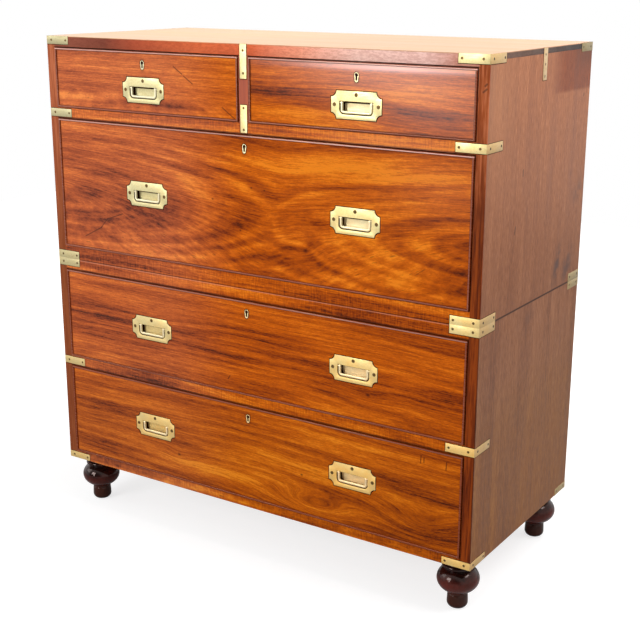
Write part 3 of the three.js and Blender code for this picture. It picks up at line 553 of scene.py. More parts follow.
def straight_wood(name, along, across, stops, gloss=0.34, specular=0.3, contrast=1.0, short=1.0, seed=0.0, **more):
    """Straight-grained wood, its grain along one axis and its lines spread across another.

    box: the bounds of a drawer box that it is used on; finishing: a function that changes the colour at the end,
    adding wear and marks, and on some woods painted light and shade.
    """
    shade = Shade(name)
    axes = dict(zip("xyz", shade.split(shade.place)))
    through = axes[next(a for a in "xyz" if a not in (along, across))]
    run, spread = axes[along], axes[across]
    if "box" in more:
        run, spread, through = shade.box_grain(*axes.values(), *more["box"])
    drift = shade.noise(shade.join(run * 3.0, spread * 7.0, seed))
    rings = spread + drift * (22 * MM) + through * 0.7

    def layer(stretch, fine, detail=2.0):
        return shade.noise(shade.join(run * stretch, rings * fine, seed), detail=detail) - 0.5

    broad, bands, lines = layer(1.5, 26, 3), layer(3.5, 120), layer(9 * short, 420)
    fibre = layer(34 * short, 1500 / short, 1)
    tone = broad * 0.8 + bands * (0.8 / short) + lines * 0.7 + fibre * (0.5 * short)
    tint = shade.ramp(tone * contrast + 0.5, stops)
    pores = shade.remap(layer(60, 2400, 1), 0.14, 0.24, 0.0, 0.45)
    tint = shade.mix(pores, tint, stops[0][1])
    if "worn" in more:
        tint = more["worn"](shade, tint, *axes.values())
    rough = shade.remap(lines + broad, -0.3, 0.3, gloss - 0.06, gloss + 0.08)
    return shade.varnished(tint, rough, fibre * 0.5 - pores + lines * 0.6, specular)


def brass_metal(name, colours, tarnish=0.35, shine=0.0, sunk=0.0, metal=0.72):
    """Old brass: paler high on the chest and golden lower down, with fine scratches and brown specks.

    tarnish: strength of the specks; shine: how pale it is rubbed; sunk: warmth of the dishes' floors.
    """
    shade = Shade(name)
    x, y, z = shade.split(shade.place)
    cloud = shade.noise(shade.place, 38, 3, 0.6)
    speck = shade.noise(shade.place, 520)
    scratch = shade.noise(shade.place, (60, 60, 1400))
    pale_to_golden = (cloud - 0.5) * 1.4 + shade.remap(z, 1.0, 0.1, 0.05, 0.85)
    tint = shade.mix(pale_to_golden, colours.brass_pale, colours.brass_deep)
    high = shade.remap(z, 0.1, 0.8, 0.25, 1.0)
    tint = shade.mix(shade.remap(x, 0.1, -0.4, 0.0, 0.8) * high, tint, colours.brass_grey)
    corner = shade.remap(x, -0.3, -0.45, 0.0, 0.4) * high
    corner = corner + shade.remap(x, 0.0, -0.25, 0.0, 0.13) * shade.remap(z, 0.87, 0.91)
    tint = shade.mix(corner, tint, (0.3, 0.25, 0.14))
    # Painted shade: the brass on the chest's sides turns darker and duller, more so towards the back and under the
    # top
    flank = shade.remap(abs(x), SIDE - 1.5 * MM, SIDE - 0.2 * MM, 0.0, 0.85)
    shadow = shade.remap(z, 0.98, 1.0) * shade.remap(y, 0.1, 0.18, 0.0, 0.5)
    aside = shade.mix(shadow, shade.ramp(y + 0.5, SIDE_BRASS), (0.1, 0.08, 0.04))
    tint = shade.mix(flank, tint, aside)
    mottle = shade.remap(shade.noise(shade.place, 300), 0.35, 0.7, 0.0, 0.3) * high
    tint = shade.mix(mottle, tint, (0.78, 0.68, 0.5), "MULTIPLY")
    if sunk:
        floor = shade.remap(y, FACE + 6 * MM, FACE + 9 * MM) * shade.remap(x, -0.1, 0.1, 0.0, sunk)
        tint = shade.mix(floor, tint, (1, 0.86, 0.66))
    tint = shade.mix(shine, tint, (1, 0.97, 0.84))
    tint = shade.blend(tint, colours.brass_dark, speck, 0.62, 0.75, tarnish)
    rough = shade.remap(cloud + scratch, 0.7, 1.3, 0.38, 0.58)
    return shade.finish(tint, rough, cloud * 0.6 + scratch * 0.35, 0.2, Metallic=metal)


def dulled_metal(name, colours):
    """The screws' heads: brown, darker in random spots, and darker on the chest's sides."""
    shade = Shade(name)
    cloud = shade.noise(shade.place, 900)
    across = abs(shade.split(shade.place)[0])
    tint = shade.blend(colours.screw, colours.screw * 0.35, cloud, 0.35, 0.7)
    tint = shade.blend(tint, (0.4, 0.34, 0.3), across, SIDE - 1.5 * MM, SIDE - 0.5 * MM, kind="MULTIPLY")
    return shade.finish(tint, shade.remap(cloud, 0.3, 0.7, 0.35, 0.6), cloud, 0.1, Metallic=0.7)


def stained_foot(name, colours):
    """Dark polished turnery, its stain thin in rings and rubbed at the foot."""
    shade = Shade(name)
    x, y, z = shade.split(shade.place)
    turned = shade.noise(shade.join(z * 420, x * 4, y * 4))
    cloud = shade.noise(shade.place, 26, 3)
    grain = shade.noise(shade.place, (500, 500, 26))
    thin = shade.remap(z, 0.076, 0.052, 0.0, 0.7) + shade.remap(z, 0.04, 0.03, 0.0, -0.35) + (cloud - 0.45) * 1.2
    thin = shade.math("ADD", (grain - 0.5) * 0.5, thin, clamp=True)
    tint = shade.mix(thin, colours.foot, colours.foot_worn)
    tint = shade.blend(tint, paint(58, 28, 16), z, 0.036, 0.028, 0.8)
    rough = shade.remap(cloud, 0.3, 0.7, 0.12, 0.24)
    gloss = dict(Specular_IOR_Level=0.2, Specular_Tint=(1, 0.6, 0.5, 1), Coat_Weight=0.3, Coat_Roughness=0.05)
    return shade.finish(tint, rough, turned * 0.6 + grain * 0.4, 0.1, 0.4, **gloss)


def wood_stops(colours, wood, **places):
    """Where each of a wood's colours lies, from dark to light."""
    places = places or dict(dark=0.2, mid=0.5, light=0.8)
    return [(place, tuple(getattr(colours, f"{wood}_{part}"))) for part, place in places.items()]


def front_stops(colours):
    return wood_stops(colours, "front", deep=0.0, dark=0.17, mid=0.5, light=0.74, bright=1.0)


def dress(material, *names):
    for name in names:
        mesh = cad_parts[name].data
        mesh.materials.clear()
        mesh.materials.append(material)


# Mesh tools


def arc(x, z, radius, start, end, steps):
    """Points along a round, by its middle, radius and two angles in degrees."""
    angles = (math.radians(start + (end - start) * n / steps) for n in range(steps + 1))
    return [(x + radius * math.cos(a), z + radius * math.sin(a)) for a in angles]


def turns(sides):
    return [2 * math.pi * n / sides for n in range(sides)]


def on_front(face=FACE):
    return lambda u, v, depth: Vector((u, face + depth, v))


def on_side(side, face=SIDE):
    return lambda u, v, depth: Vector((side * (face - depth), u, v))


def upright(u, v, depth):
    return Vector((u, v, depth))


def ring(bm, outline, place, depth):
    return [bm.verts.new(place(u, v, depth)) for u, v in outline]


def wall(bm, *loops):
    """Faces between each loop of points and the next."""
    for first, second in zip(loops, loops[1:]):
        for n in range(len(first)):
            after = (n + 1) % len(first)
            bm.faces.new((first[n], first[after], second[after], second[n]))


def fill(bm, *rings):
    """A flat face inside the first ring, open inside the others."""
    if len(rings) == 1:
        bm.faces.new(rings[0])
        return
    edges = []
    for points in rings:
        for n, point in enumerate(points):
            pair = (point, points[(n + 1) % len(points)])
            edges.append(bm.edges.get(pair) or bm.edges.new(pair))
    bmesh.ops.triangle_fill(bm, edges=edges, use_beauty=True)


def bar(bm, loops):
    """A solid through a run of loops, closed at both ends."""
    wall(bm, *loops)
    fill(bm, loops[0])
    fill(bm, loops[-1])


def block(bm, outline, place, front, back, holes=()):
    """A flat plate between two depths, with holes through it."""
    fronts, backs = ([ring(bm, o, place, depth) for o in (outline, *holes)] for depth in (front, back))
    for first, second in zip(fronts, backs):
        wall(bm, first, second)
    fill(bm, *fronts)
    fill(bm, *backs)


def lathe(bm, profile, x, y, sides):
    """A turned shape about an upright line. profile: radius and height, from the top to the bottom."""
    loops = []
    for radius, height in profile:
        angles = turns(sides) if radius else [0]
        loops.append([bm.verts.new((x + radius * math.cos(a), y + radius * math.sin(a), height)) for a in angles])
    for upper, lower in zip(loops, loops[1:]):
        for n in range(sides):
            corners = [loop[at % len(loop)] for loop, at in ((upper, n), (upper, n + 1), (lower, n + 1), (lower, n))]
            bm.faces.new(list(dict.fromkeys(corners)))


def rod(bm, start, end, radius, sides, ease):
    """A round bar between two points, its ends eased."""
    axis, far = (end - start).normalized(), (end - start).length
    turn = axis.to_track_quat("Z", "Y").to_matrix()
    stations = [(0.0, radius - ease), (ease, radius), (far - ease, radius), (far, radius - ease)]

    def point(along, wide, a):
        return start + axis * along + turn @ Vector((wide * math.cos(a), wide * math.sin(a), 0))

    bar(bm, [[bm.verts.new(point(along, wide, a)) for a in turns(sides)] for along, wide in stations])


def corner_straps():
    """Each front strap: name, side by word and sign, body, box, and where its tip is from the middle."""
    for name, body in FRONT_STRAPS.items():
        for word, side in SIDES.items():
            lo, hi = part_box(f"{name}_{word}")
            yield name, word, side, body, lo, hi, min(abs(lo.x), abs(hi.x))


def strap_plan(sizes, side, tip, face, tail, edge):
    """The plan of a strap bent round an upright corner, the corner eased."""
    inward = 1 if tail > face else -1
    inner_x, inner_y = edge - sizes.strap, face + inward * sizes.strap
    nose = [(edge - 0.8 * MM, face), (edge - 0.25 * MM, face + inward * 0.25 * MM), (edge, face + inward * 0.8 * MM)]
    inner = [(edge, tail), (inner_x, tail), (inner_x, inner_y), (tip, inner_y)]
    return [(side * x, y) for x, y in ((tip, face), *nose, *inner)]


def round_foot(middle, half, low, turn, steps):
    """The lower edge of a plate with its two corners rounded, from left to right."""
    left = arc(middle - half + turn, low + turn, turn, 180, 270, steps)
    return left + arc(middle + half - turn, low + turn, turn, 270, 360, steps)


def strips(front_face, side_face, grow=0.0):
    """The short strips: name, outline and place. They stand on each side and between the short drawers."""

    def outline(width, middle, low, high):
        half = width / 2 + grow
        return [*round_foot(middle, half, low - grow, STRIP_ROUND, 5), (middle + half, high), (middle - half, high)]

    for word, side in SIDES.items():
        yield f"side_strip_{word}", outline(SIDE_STRIP, MIDDLE, TOP - SIDE_STRIP_LONG, TOP), on_side(side, side_face)
    yield "front_strip_top", outline(FRONT_STRIP, 0, TOP - TOP_STRIP_LONG, TOP), on_front(front_face)
    high = RAIL_STRIP_LOW + RAIL_STRIP_LONG + grow
    yield "front_strip_rail", outline(FRONT_STRIP, 0, RAIL_STRIP_LOW, high), on_front(front_face)


def plate_outline(lo, hi, scoop, grow=0.0):
    """A handle plate: an oblong with a quarter round scooped from each corner."""
    x0, x1, z0, z1 = lo.x - grow, hi.x + grow, lo.z - grow, hi.z + grow
    outline = []
    for x, z, start in ((x0, z0, 90), (x1, z0, 180), (x1, z1, 270), (x0, z1, 360)):
        outline += arc(x, z, scoop, start, start - 90, 8)
    return outline


def recess_outline(sizes, x, plate_top, grow=0.0):
    """The opening in a handle plate: square above, its lower corners rounded."""
    high = plate_top - sizes.recess_drop
    half, low = sizes.recess_width / 2 + grow, high - sizes.recess_height - grow
    lower = round_foot(x, half, low, sizes.recess_round + grow, 8)
    return [(x - half, high + grow), *lower, (x + half, high + grow)]


def key_outline(x, z, head, tip):
    """A keyhole plate: a round head over a smaller round foot."""
    drop = 9.5 * MM
    lean = math.degrees(math.asin((head - tip) / drop))
    return arc(x, z, head, -lean, 180 + lean, 20) + arc(x, z - drop, tip, 180 + lean, 360 - lean, 16)


def key_hole(x, z, grow=0.0):
    eye, slot, foot = 3.3 * MM + grow, 1.8 * MM + grow, 9.4 * MM + grow
    open_at = math.degrees(math.asin(slot / eye))
    return arc(x, z, eye, -90 + open_at, 270 - open_at, 20) + [(x - slot, z - foot), (x + slot, z - foot)]


def stand(name, mesh):
    piece = bpy.data.objects.new(name, mesh)
    bpy.context.scene.collection.objects.link(piece)
    return piece


def plain_mesh(piece):
    """Turns what the piece's modifiers show into its own mesh."""
    graph = bpy.context.evaluated_depsgraph_get()
    mesh = bpy.data.meshes.new_from_object(piece.evaluated_get(graph), depsgraph=graph)
    piece.modifiers.clear()
    piece.data = mesh


def settle(piece, body, stands_for=(), sharp=35):
    """Shades a finished piece, puts it on its body and hides the parts it stands for."""
    piece.data.shade_smooth()
    piece.data.set_sharp_from_angle(angle=math.radians(sharp))
    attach(piece, body)
    if stands_for:
        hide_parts(*stands_for)


def closed_mesh(name, bm, material):
    """A plain mesh from what was drawn, its faces turned outwards."""
    bmesh.ops.recalc_face_normals(bm, faces=bm.faces)
    mesh = bpy.data.meshes.new(name)
    bm.to_mesh(mesh)
    bm.free()
    mesh.materials.append(material)
    return mesh


def make_piece(name, bm, material, body, ease=0.0, stands_for=(), sharp=35):
    piece = stand(name, closed_mesh(name, bm, material))
    if ease:
        worn = piece.modifiers.new("Eased edges", "BEVEL")
        worn.width, worn.segments = ease, 2
        worn.limit_method, worn.angle_limit = "ANGLE", math.radians(35)
        plain_mesh(piece)
    settle(piece, body, stands_for, sharp)


def make_plate(name, outline, place, depths, material, body, ease, stands_for=(), holes=()):
    bm = bmesh.new()
    block(bm, outline, place, *depths, holes)
    make_piece(name, bm, material, body, ease, stands_for)


# The pieces


class Maker:
    """What every operator here shares."""

    bl_options = {"REGISTER", "UNDO"}

    def execute(self, context):
        self.make(context.scene.chest_sizes, context.scene.chest_colours)
        return {"FINISHED"}


class CHEST_OT_stage(Maker, bpy.types.Operator):
    """Sets the floor, the lamps and the camera"""

    bl_idname = "chest.stage"
    bl_label = "Stage"

    def make(self, sizes, colours):
        self.floor(colours)
        self.sky()
        self.lamp("Key", (-1.15, -3.2, 1.8), (0, 0, 0.7), 1.3, 62)
        self.lamp("Left", (-3.0, -1.6, 1.9), (0, 0, 0.8), 1.6, 20)
        self.lamp("Above", (0.6, 0.6, 3.0), (0, 0, 0.9), 2.0, 70)
        self.lamp("Right", (1.9, 0.1, 2.3), (0.5, 0, 1.0), 1.0, 30)
        self.lamp("Low", (-0.75, -3.1, 0.62), (0.4, -0.2, 0.1), 0.34, 7)
        self.camera()

    def floor(self, colours):
        half = 3.4
        mesh = bpy.data.meshes.new("floor")
        mesh.from_pydata([(-half, -half, 0), (half, -half, 0), (half, half, 0), (-half, half, 0)], [], [(0, 1, 2, 3)])
        shade = Shade("studio floor")
        rays = shade.all("ShaderNodeLightPath")
        mirrored = shade.math("MAXIMUM", rays["Is Glossy Ray"], rays["Is Transmission Ray"])
        seen = shade.math("MAXIMUM", rays["Is Camera Ray"], mirrored * 0.1)
        tint = shade.mix(shade.noise(shade.place, 40) * 0.1, colours.floor, (1, 1, 1))
        bright = seen * shade.remap(shade.vector("LENGTH", shade.place, out=1), 0.7, 1.5, 0.75, 1.0)
        matt = shade.get("ShaderNodeBsdfDiffuse", tint)
        glow = shade.get("ShaderNodeEmission", at={"Strength": bright})
        shade.make("ShaderNodeOutputMaterial", shade.get("ShaderNodeAddShader", matt, glow))
        mesh.materials.append(shade.material)
        stand("floor", mesh)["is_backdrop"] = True

    def sky(self):
        world = bpy.data.worlds.new("studio")
        bpy.context.scene.world = world
        world.use_nodes = True
        sky = Nodes(world.node_tree)
        rays = sky.all("ShaderNodeLightPath")
        _, y, z = sky.split(sky.get("ShaderNodeTexCoord", out="Generated"))
        soft = sky.remap(z, -0.2, 0.9, 0.14, 0.4)
        mirrored = sky.remap(y, -0.9, -0.6, 0.15, 1.0)
        level = sky.choose(rays["Is Camera Ray"], sky.choose(rays["Is Glossy Ray"], soft, mirrored), 1.0)
        sky.make("ShaderNodeOutputWorld", sky.get("ShaderNodeBackground", (1, 1, 1, 1), level))

    def lamp(self, name, place, aim, size, power):
        light = bpy.data.lights.new(name, "AREA")
        light.shape, light.size, light.energy = "SQUARE", size, power
        lamp = stand(name, light)
        lamp.location = place
        lamp.rotation_euler = (Vector(aim) - Vector(place)).to_track_quat("-Z", "Y").to_euler()

    def camera(self):
        round_to, up_by, roll = (math.radians(v) for v in (32.9818, 16.0819, 0.18345))
        right = Vector((math.cos(round_to), math.sin(round_to), 0))
        back = Vector((math.sin(round_to) * math.cos(up_by), -math.cos(round_to) * math.cos(up_by), math.sin(up_by)))
        up = back.cross(right)
        rolled_right = math.cos(roll) * right + math.sin(roll) * up
        rolled_up = math.cos(roll) * up - math.sin(roll) * right
        lens = bpy.data.cameras.new("camera")
        lens.lens = 67.98
        lens.sensor_width = 36
        camera = stand("camera", lens)
        turn = Matrix((rolled_right, rolled_up, back)).transposed().to_4x4()
        camera.matrix_world = Matrix.Translation((1.34391, -2.03285, 1.14940)) @ turn
        bpy.context.scene.camera = camera


class CHEST_OT_case_wood(Maker, bpy.types.Operator):
    """Gives the cases their wood: pale top, straight-grained sides, flecked rails and plain backs"""

    bl_idname = "chest.case_wood"
    bl_label = "Case wood"

    def make(self, sizes, colours):
        front = front_stops(colours)
        lining = wood_stops(colours, "lining")
        dress(self.top_wood(colours), "upper_top_board")
        for case, seed in (("upper", 3.1), ("lower", 8.4)):
            dress(self.side_wood(f"side wood, {case}", colours, seed), f"{case}_left_side", f"{case}_right_side")
        rails = figured_wood("rail wood", FIGURES["rails"], front, fleck=0.65, seed=2.2)
        dress(rails, "upper_bottom_board", "upper_drawer_rail")
        dress(rails, "lower_top_board", "lower_drawer_rail", "lower_bottom_board")
        dress(straight_wood("upright wood", "z", "x", front, seed=5.5, worn=self.pinker), "short_drawer_upright")
        backs = straight_wood("back wood", "z", "x", lining, seed=4.0, worn=self.boards, **ROUGH_WOOD)
        dress(backs, "upper_back_boards", "lower_back_boards")

    def pinker(self, shade, tint, *_):
        return shade.mix(0.6, tint, (0.48, 0.13, 0.1))

    def boards(self, shade, tint, x, _, z):
        """Upright boards of slightly different tone, with dark joints between them and at the seam."""
        wide = 123 * MM
        number = shade.math("FLOOR", shade.math("DIVIDE", x, wide))
        board = shade.noise(shade.join(number, shade.math("GREATER_THAN", z, SEAM)), 3.7)
        tint = shade.blend(tint, (0.45, 0.38, 0.34), board, 0.35, 0.65, 0.4, "MULTIPLY")
        joint = shade.remap(shade.math("PINGPONG", x, wide / 2), 0.5 * MM, 1.5 * MM, 0.85, 0.0)
        dark = shade.math("MAXIMUM", joint, shade.near(z, SEAM, 0.8, 2, 0.85))
        return shade.mix(dark, tint, (0.03, 0.015, 0.008))

    def top_wood(self, colours):
        def worn(shade, tint, x, y, z):
            grain = shade.noise(shade.place, (110, 110, 300), 3, 0.7)
            front = shade.ramp(x + 0.5, TOP_EDGE)
            front = shade.blend(front, (0.66, 0.46, 0.42), grain, 0.6, 0.38, 0.5, "MULTIPLY")
            # Painted sheen: the edge keeps its pale colour at the top and darkens lower down
            front = shade.blend(front, (0.16, 0.03, 0.01), z, TOP - 7 * MM, TOP - 16 * MM, 0.12)
            # Painted shade along the foot of the edge, over the gap above the top drawers
            first, *others = shade.gap_shade_lines(z, 0.9, 0.5, 2.0)
            front = shade.mix(sum(others, first), front, (0.02, 0.006, 0.004))
            end = shade.blend((0.15, 0.07, 0.045), (0.012, 0.004, 0.003), y, -0.2, 0.2)
            end = shade.blend(end, (0.5, 0.42, 0.4), grain, 0.4, 0.6, 0.6, "MULTIPLY")
            edge = shade.blend(front, end, abs(x), SIDE - 1 * MM, SIDE - 0.2 * MM)
            tint = shade.mix(1.0, tint, shade.ramp(x + 0.5, TOP_SHINE), "MULTIPLY")
            return shade.blend(edge, tint, z, TOP - 2 * MM, TOP - 0.3 * MM)

        looks = dict(specular=0.25, contrast=0.6, seed=1.3, worn=worn)
        return straight_wood("top wood", "x", "y", wood_stops(colours, "top"), **looks)

    def side_wood(self, name, colours, seed):
        front = front_stops(colours)

        def worn(shade, tint, x, y, z):
            # Painted shade: the sides darken towards the bottom
            tint = shade.mix(1.0, tint, shade.ramp(z, SIDE_SHADE), "MULTIPLY")
            flank = shade.join(y, z)
            shown = shade.remap(x, -0.1, 0.1)
            hidden = shade.remap(z, 0.934, 0.942) * shade.remap(y, 0.02, 0.1, 0.0, 0.9) * shown
            tint = shade.mix(hidden, tint, (0.56, 0.35, 0.25), "MULTIPLY")
            shadow = shade.remap(z, 0.96, 1.0) * shade.remap(y, 0.1, 0.2, 0.0, 0.5)
            tint = shade.mix(shadow, tint, (0.1, 0.03, 0.015))
            lean = shade.join(y - z * 0.35, z)
            first, *others = (shade.swell(lean, *spot) for spot in SIDE_STAINS)
            smudge = shade.remap(shade.noise(shade.place, 60, 3), 0.35, 0.6, 0.2, 1.0) * shown
            tint = shade.mix(sum(others, first) * smudge, tint, (0.075, 0.05, 0.05))
            for mark in SIDE_MARKS:
                tint = shade.mix(shade.crack(flank, *mark, 2.6) * shown * 0.7, tint, (0.05, 0.02, 0.015))
            tint = shade.mix(shade.near(z, SEAM, 1.1, 2.4, 0.9), tint, JOINT_DARK)
            tint = shade.mix(shade.swell(flank, -200, 950, 70, 120, 0.3), tint, (0.6, 0.27, 0.13))
            tint = shade.blend(tint, stile(shade, x, z), y, FACE + 1.2 * MM, FACE + 0.2 * MM)
            return shade.mix(shade.near(z, SEAM, 0.5, 1.4, 0.8), tint, front[0][1])

        def stile(shade, x, z):
            """The narrow front edge of the side, streaked along the grain."""
            ground = shade.noise(shade.place, (240, 240, 12), 3, 0.65)
            low, high = (shade.ramp(ground, stops) for stops in (STILE_LOW, STILE_HIGH))
            right = shade.blend(low, high, z, 0.7, 0.95)
            arris = shade.remap(x, SIDE - 3.5 * MM, SIDE - 1 * MM, 0.0, 0.55) * shade.remap(z, 0.62, 0.5)
            right = shade.mix(arris, right, (0.03, 0.008, 0.004))
            for mark in STILE_MARKS:
                nick = shade.crack(shade.join(x, z), *mark, 2.4)
                right = shade.mix(nick * 0.7, right, (0.05, 0.012, 0.008))
            pale = shade.blend(paint(140, 76, 44), paint(184, 104, 70), z, 0.5, 0.95)
            left = shade.blend(pale, front[1][1], ground, 0.56, 0.42, 0.4)
            return shade.blend(right, left, x, 0.1, -0.1, 0.75)

        looks = dict(gloss=0.36, specular=0.2, contrast=0.7, short=2.2, seed=seed, worn=worn)
        return straight_wood(name, "z", "y", wood_stops(colours, "side"), **looks)


class CHEST_OT_drawer_wood(Maker, bpy.types.Operator):
    """Gives each drawer front its own board, and the boxes behind them their lining wood"""

    bl_idname = "chest.drawer_wood"
    bl_label = "Drawer wood"

    def make(self, sizes, colours):
        lining = wood_stops(colours, "lining")
        for number, name in enumerate(DRAWERS):
            front, box = f"{name}_drawer_front", f"{name}_drawer_box"
            looks = dict(seed=number * 1.7, border=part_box(front))
            dress(figured_wood(f"{name} front wood", FIGURES[name], front_stops(colours), **looks), front)
            looks = dict(seed=number * 2.3, box=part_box(box), **ROUGH_WOOD)
            dress(straight_wood(f"{name} lining", "y", "z", lining, **looks), box)


class CHEST_OT_cockbeads(Maker, bpy.types.Operator):
    """Runs a mitred half-round bead round every drawer front"""

    bl_idname = "chest.cockbeads"
    bl_label = "Cockbeads"

    def make(self, sizes, colours):
        over = 0.02 * MM  # how far the round stands past the strip behind it, on either side
        half, let_in = sizes.bead / 2, FACE + 1 * MM
        for name in DRAWERS:
            lo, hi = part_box(f"{name}_drawer_front")
            nose = arc(half, lo.y + half, half + over, 180, 360, 12)
            bm = bmesh.new()
            loops = []
            for inset, y in (*nose, (sizes.bead - over, let_in), (over, let_in)):
                x0, x1, z0, z1 = lo.x + inset, hi.x - inset, lo.z + inset, hi.z - inset
                loops.append(ring(bm, ((x0, z0), (x1, z0), (x1, z1), (x0, z1)), on_front(y), 0))
            wall(bm, *loops, loops[0])
            wood = self.wood(f"{name} bead wood", colours, hi.z)
            make_piece(f"{name}_cockbead", bm, wood, f"{name}_drawer", sharp=50)

    def wood(self, name, colours, top):
        """Dark wood, with a painted highlight along the upper bead, stronger high on the chest, and a faint one on
        each bead's nose.
        """
        high_up = min(max((top - 0.3) / 0.6, 0), 1)

        def worn(shade, tint, x, y, z):
            # Painted highlight: a pale line along the crown of the upper bead, stronger high on the chest and to the
            # right, and a faint one on the nose of every bead
            lit_part = 0.07 + 0.73 * high_up ** 1.5
            crown = top - 2.3 * MM
            line = shade.near(z, crown, 0.5, 1.3, lit_part) * shade.remap(x, 0.0, 0.25, 0.75, 1.2)
            nose = shade.remap(y, FACE - 2.0 * MM, FACE - 2.45 * MM, 0.0, 0.05 + 0.09 * high_up)
            tint = shade.mix(nose, tint, colours.bead_highlight)
            return shade.mix(line, tint, colours.bead_highlight)

        darker = (0.42, 0.28, 0.5 + 0.4 * high_up)
        stops = [(at, tuple(c * share for c, share in zip(tint, darker))) for at, tint in front_stops(colours)]
        return straight_wood(name, "x", "z", stops, gloss=0.26, specular=0.5, contrast=0.4, seed=9.1, worn=worn)


class CHEST_OT_straps(Maker, bpy.types.Operator):
    """Lets the brass straps into the corners, and the short strips into the front and the sides"""

    bl_idname = "chest.straps"
    bl_label = "Straps and strips"

    def make(self, sizes, colours):
        brass = brass_metal("strap brass", colours, metal=0.6)
        ease = sizes.brass_ease
        over = 0.05 * MM  # how far brass that is one solid with its wood is drawn outside it
        for name, word, side, body, lo, hi, tip in corner_straps():
            outline, levels = strap_plan(sizes, side, tip, BRASS_FACE, hi.y, EDGE), (lo.z, hi.z)
            make_plate(f"{name}_brass_{word}", outline, upright, levels, brass, body, ease, (f"{name}_{word}",))
        edge, rear_tip, tail = EDGE + over, SIDE - REAR_WING - over, BACK - REAR_WING - over
        for name, word, side, body, lo, hi, _ in corner_straps():
            if "rail" not in name:
                outline = strap_plan(sizes, side, rear_tip, BRASS_BACK + over, tail, edge)
                levels = (lo.z - over, hi.z + over * (name != "strap_top"))
                make_plate(f"{name}_rear_brass_{word}", outline, upright, levels, brass, body, ease)
        for name, outline, place in strips(BRASS_FACE - over, edge):
            make_plate(name, outline, place, (0, sizes.strip), brass, "upper_case", ease)


class CHEST_OT_handles(Maker, bpy.types.Operator):
    """Makes the sunk handles: plates with scooped corners and a dish, and the bails that hang in them"""

    bl_idname = "chest.handles"
    bl_label = "Handles"

    def make(self, sizes, colours):
        plate_brass = brass_metal("plate brass", colours, tarnish=0.25, sunk=0.35)
        bail_brass = brass_metal("bail brass", colours, tarnish=0.1, shine=0.35)
        for name, hands in DRAWERS.items():
            for hand in hands:
                node = f"{name}_drawer_{hand}handle"
                self.plate(f"{name}_{hand}plate", node + "_plate", plate_brass, f"{name}_drawer", sizes)
                self.bail(f"{name}_{hand}grip", node + "_bail", bail_brass, f"{name}_{hand}bail", sizes)

    def plate(self, name, node, brass, body, sizes):
        lo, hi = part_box(node)
        x = (lo.x + hi.x) / 2
        bm = bmesh.new()

        def rings(outline, *depths):
            return [ring(bm, outline, on_front(lo.y), depth) for depth in depths]

        outer_front, outer_back = rings(plate_outline(lo, hi, sizes.scoop), 0, sizes.plate)
        hole_front, hole_floor = rings(recess_outline(sizes, x, hi.z), 0, sizes.dish)
        around = recess_outline(sizes, x, hi.z, sizes.dish_wall)
        dish_top, dish_floor = rings(around, sizes.plate, hi.y - lo.y)
        for pair in ((outer_front, outer_back), (hole_front, hole_floor), (dish_top, dish_floor)):
            wall(bm, *pair)
        for face in ((outer_front, hole_front), (outer_back, dish_top), (hole_floor,), (dish_floor,)):
            fill(bm, *face)
        make_piece(name, bm, brass, body, sizes.brass_ease, (node,))

    def bail(self, name, node, brass, body, sizes):
        lo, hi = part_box(node)
        x, y = (lo.x + hi.x) / 2, (lo.y + hi.y) / 2
        pivot = hi.z - sizes.bail / 2
        wide, thick = sizes.bail_width / 2, sizes.bail / 2
        half = sizes.recess_width / 2 - sizes.bail_gap - wide
        low = lo.z + wide
        turn = sizes.recess_round - sizes.bail_gap - wide
        path = [((x - half, pivot), (-1, 0))]
        for side, start in ((-1, 180), (1, 270)):
            for out in arc(0, 0, 1, start, start + 90, 8):
                path.append(((x + side * (half - turn) + turn * out[0], low + turn + turn * out[1]), out))
        path.append(((x + half, pivot), (1, 0)))
        ease, section = 1.5 * MM, []
        for sx, sy, start in ((1, 1, 0), (-1, 1, 90), (-1, -1, 180), (1, -1, 270)):
            section += arc(sx * (wide - ease), sy * (thick - ease), ease, start, start + 90, 4)
        bm = bmesh.new()
        loops = []
        for (px, pz), (ox, oz) in path:
            loops.append([bm.verts.new((px + out * ox, y + back, pz + out * oz)) for out, back in section])
        bar(bm, loops)
        seat, pin = (hi.x - lo.x) / 2, 1.25 * MM
        for side in SIDES.values():
            spans = (half - wide, half + wide, half, seat)
            knuckle, knuckle_end, pin_start, pin_end = (Vector((x + side * far, y, pivot)) for far in spans)
            rod(bm, knuckle, knuckle_end, thick, 24, 0.5 * MM)
            rod(bm, pin_start, pin_end, pin, 16, 0.1 * MM)
        make_piece(name, bm, brass, body, 0, (node,), sharp=42)


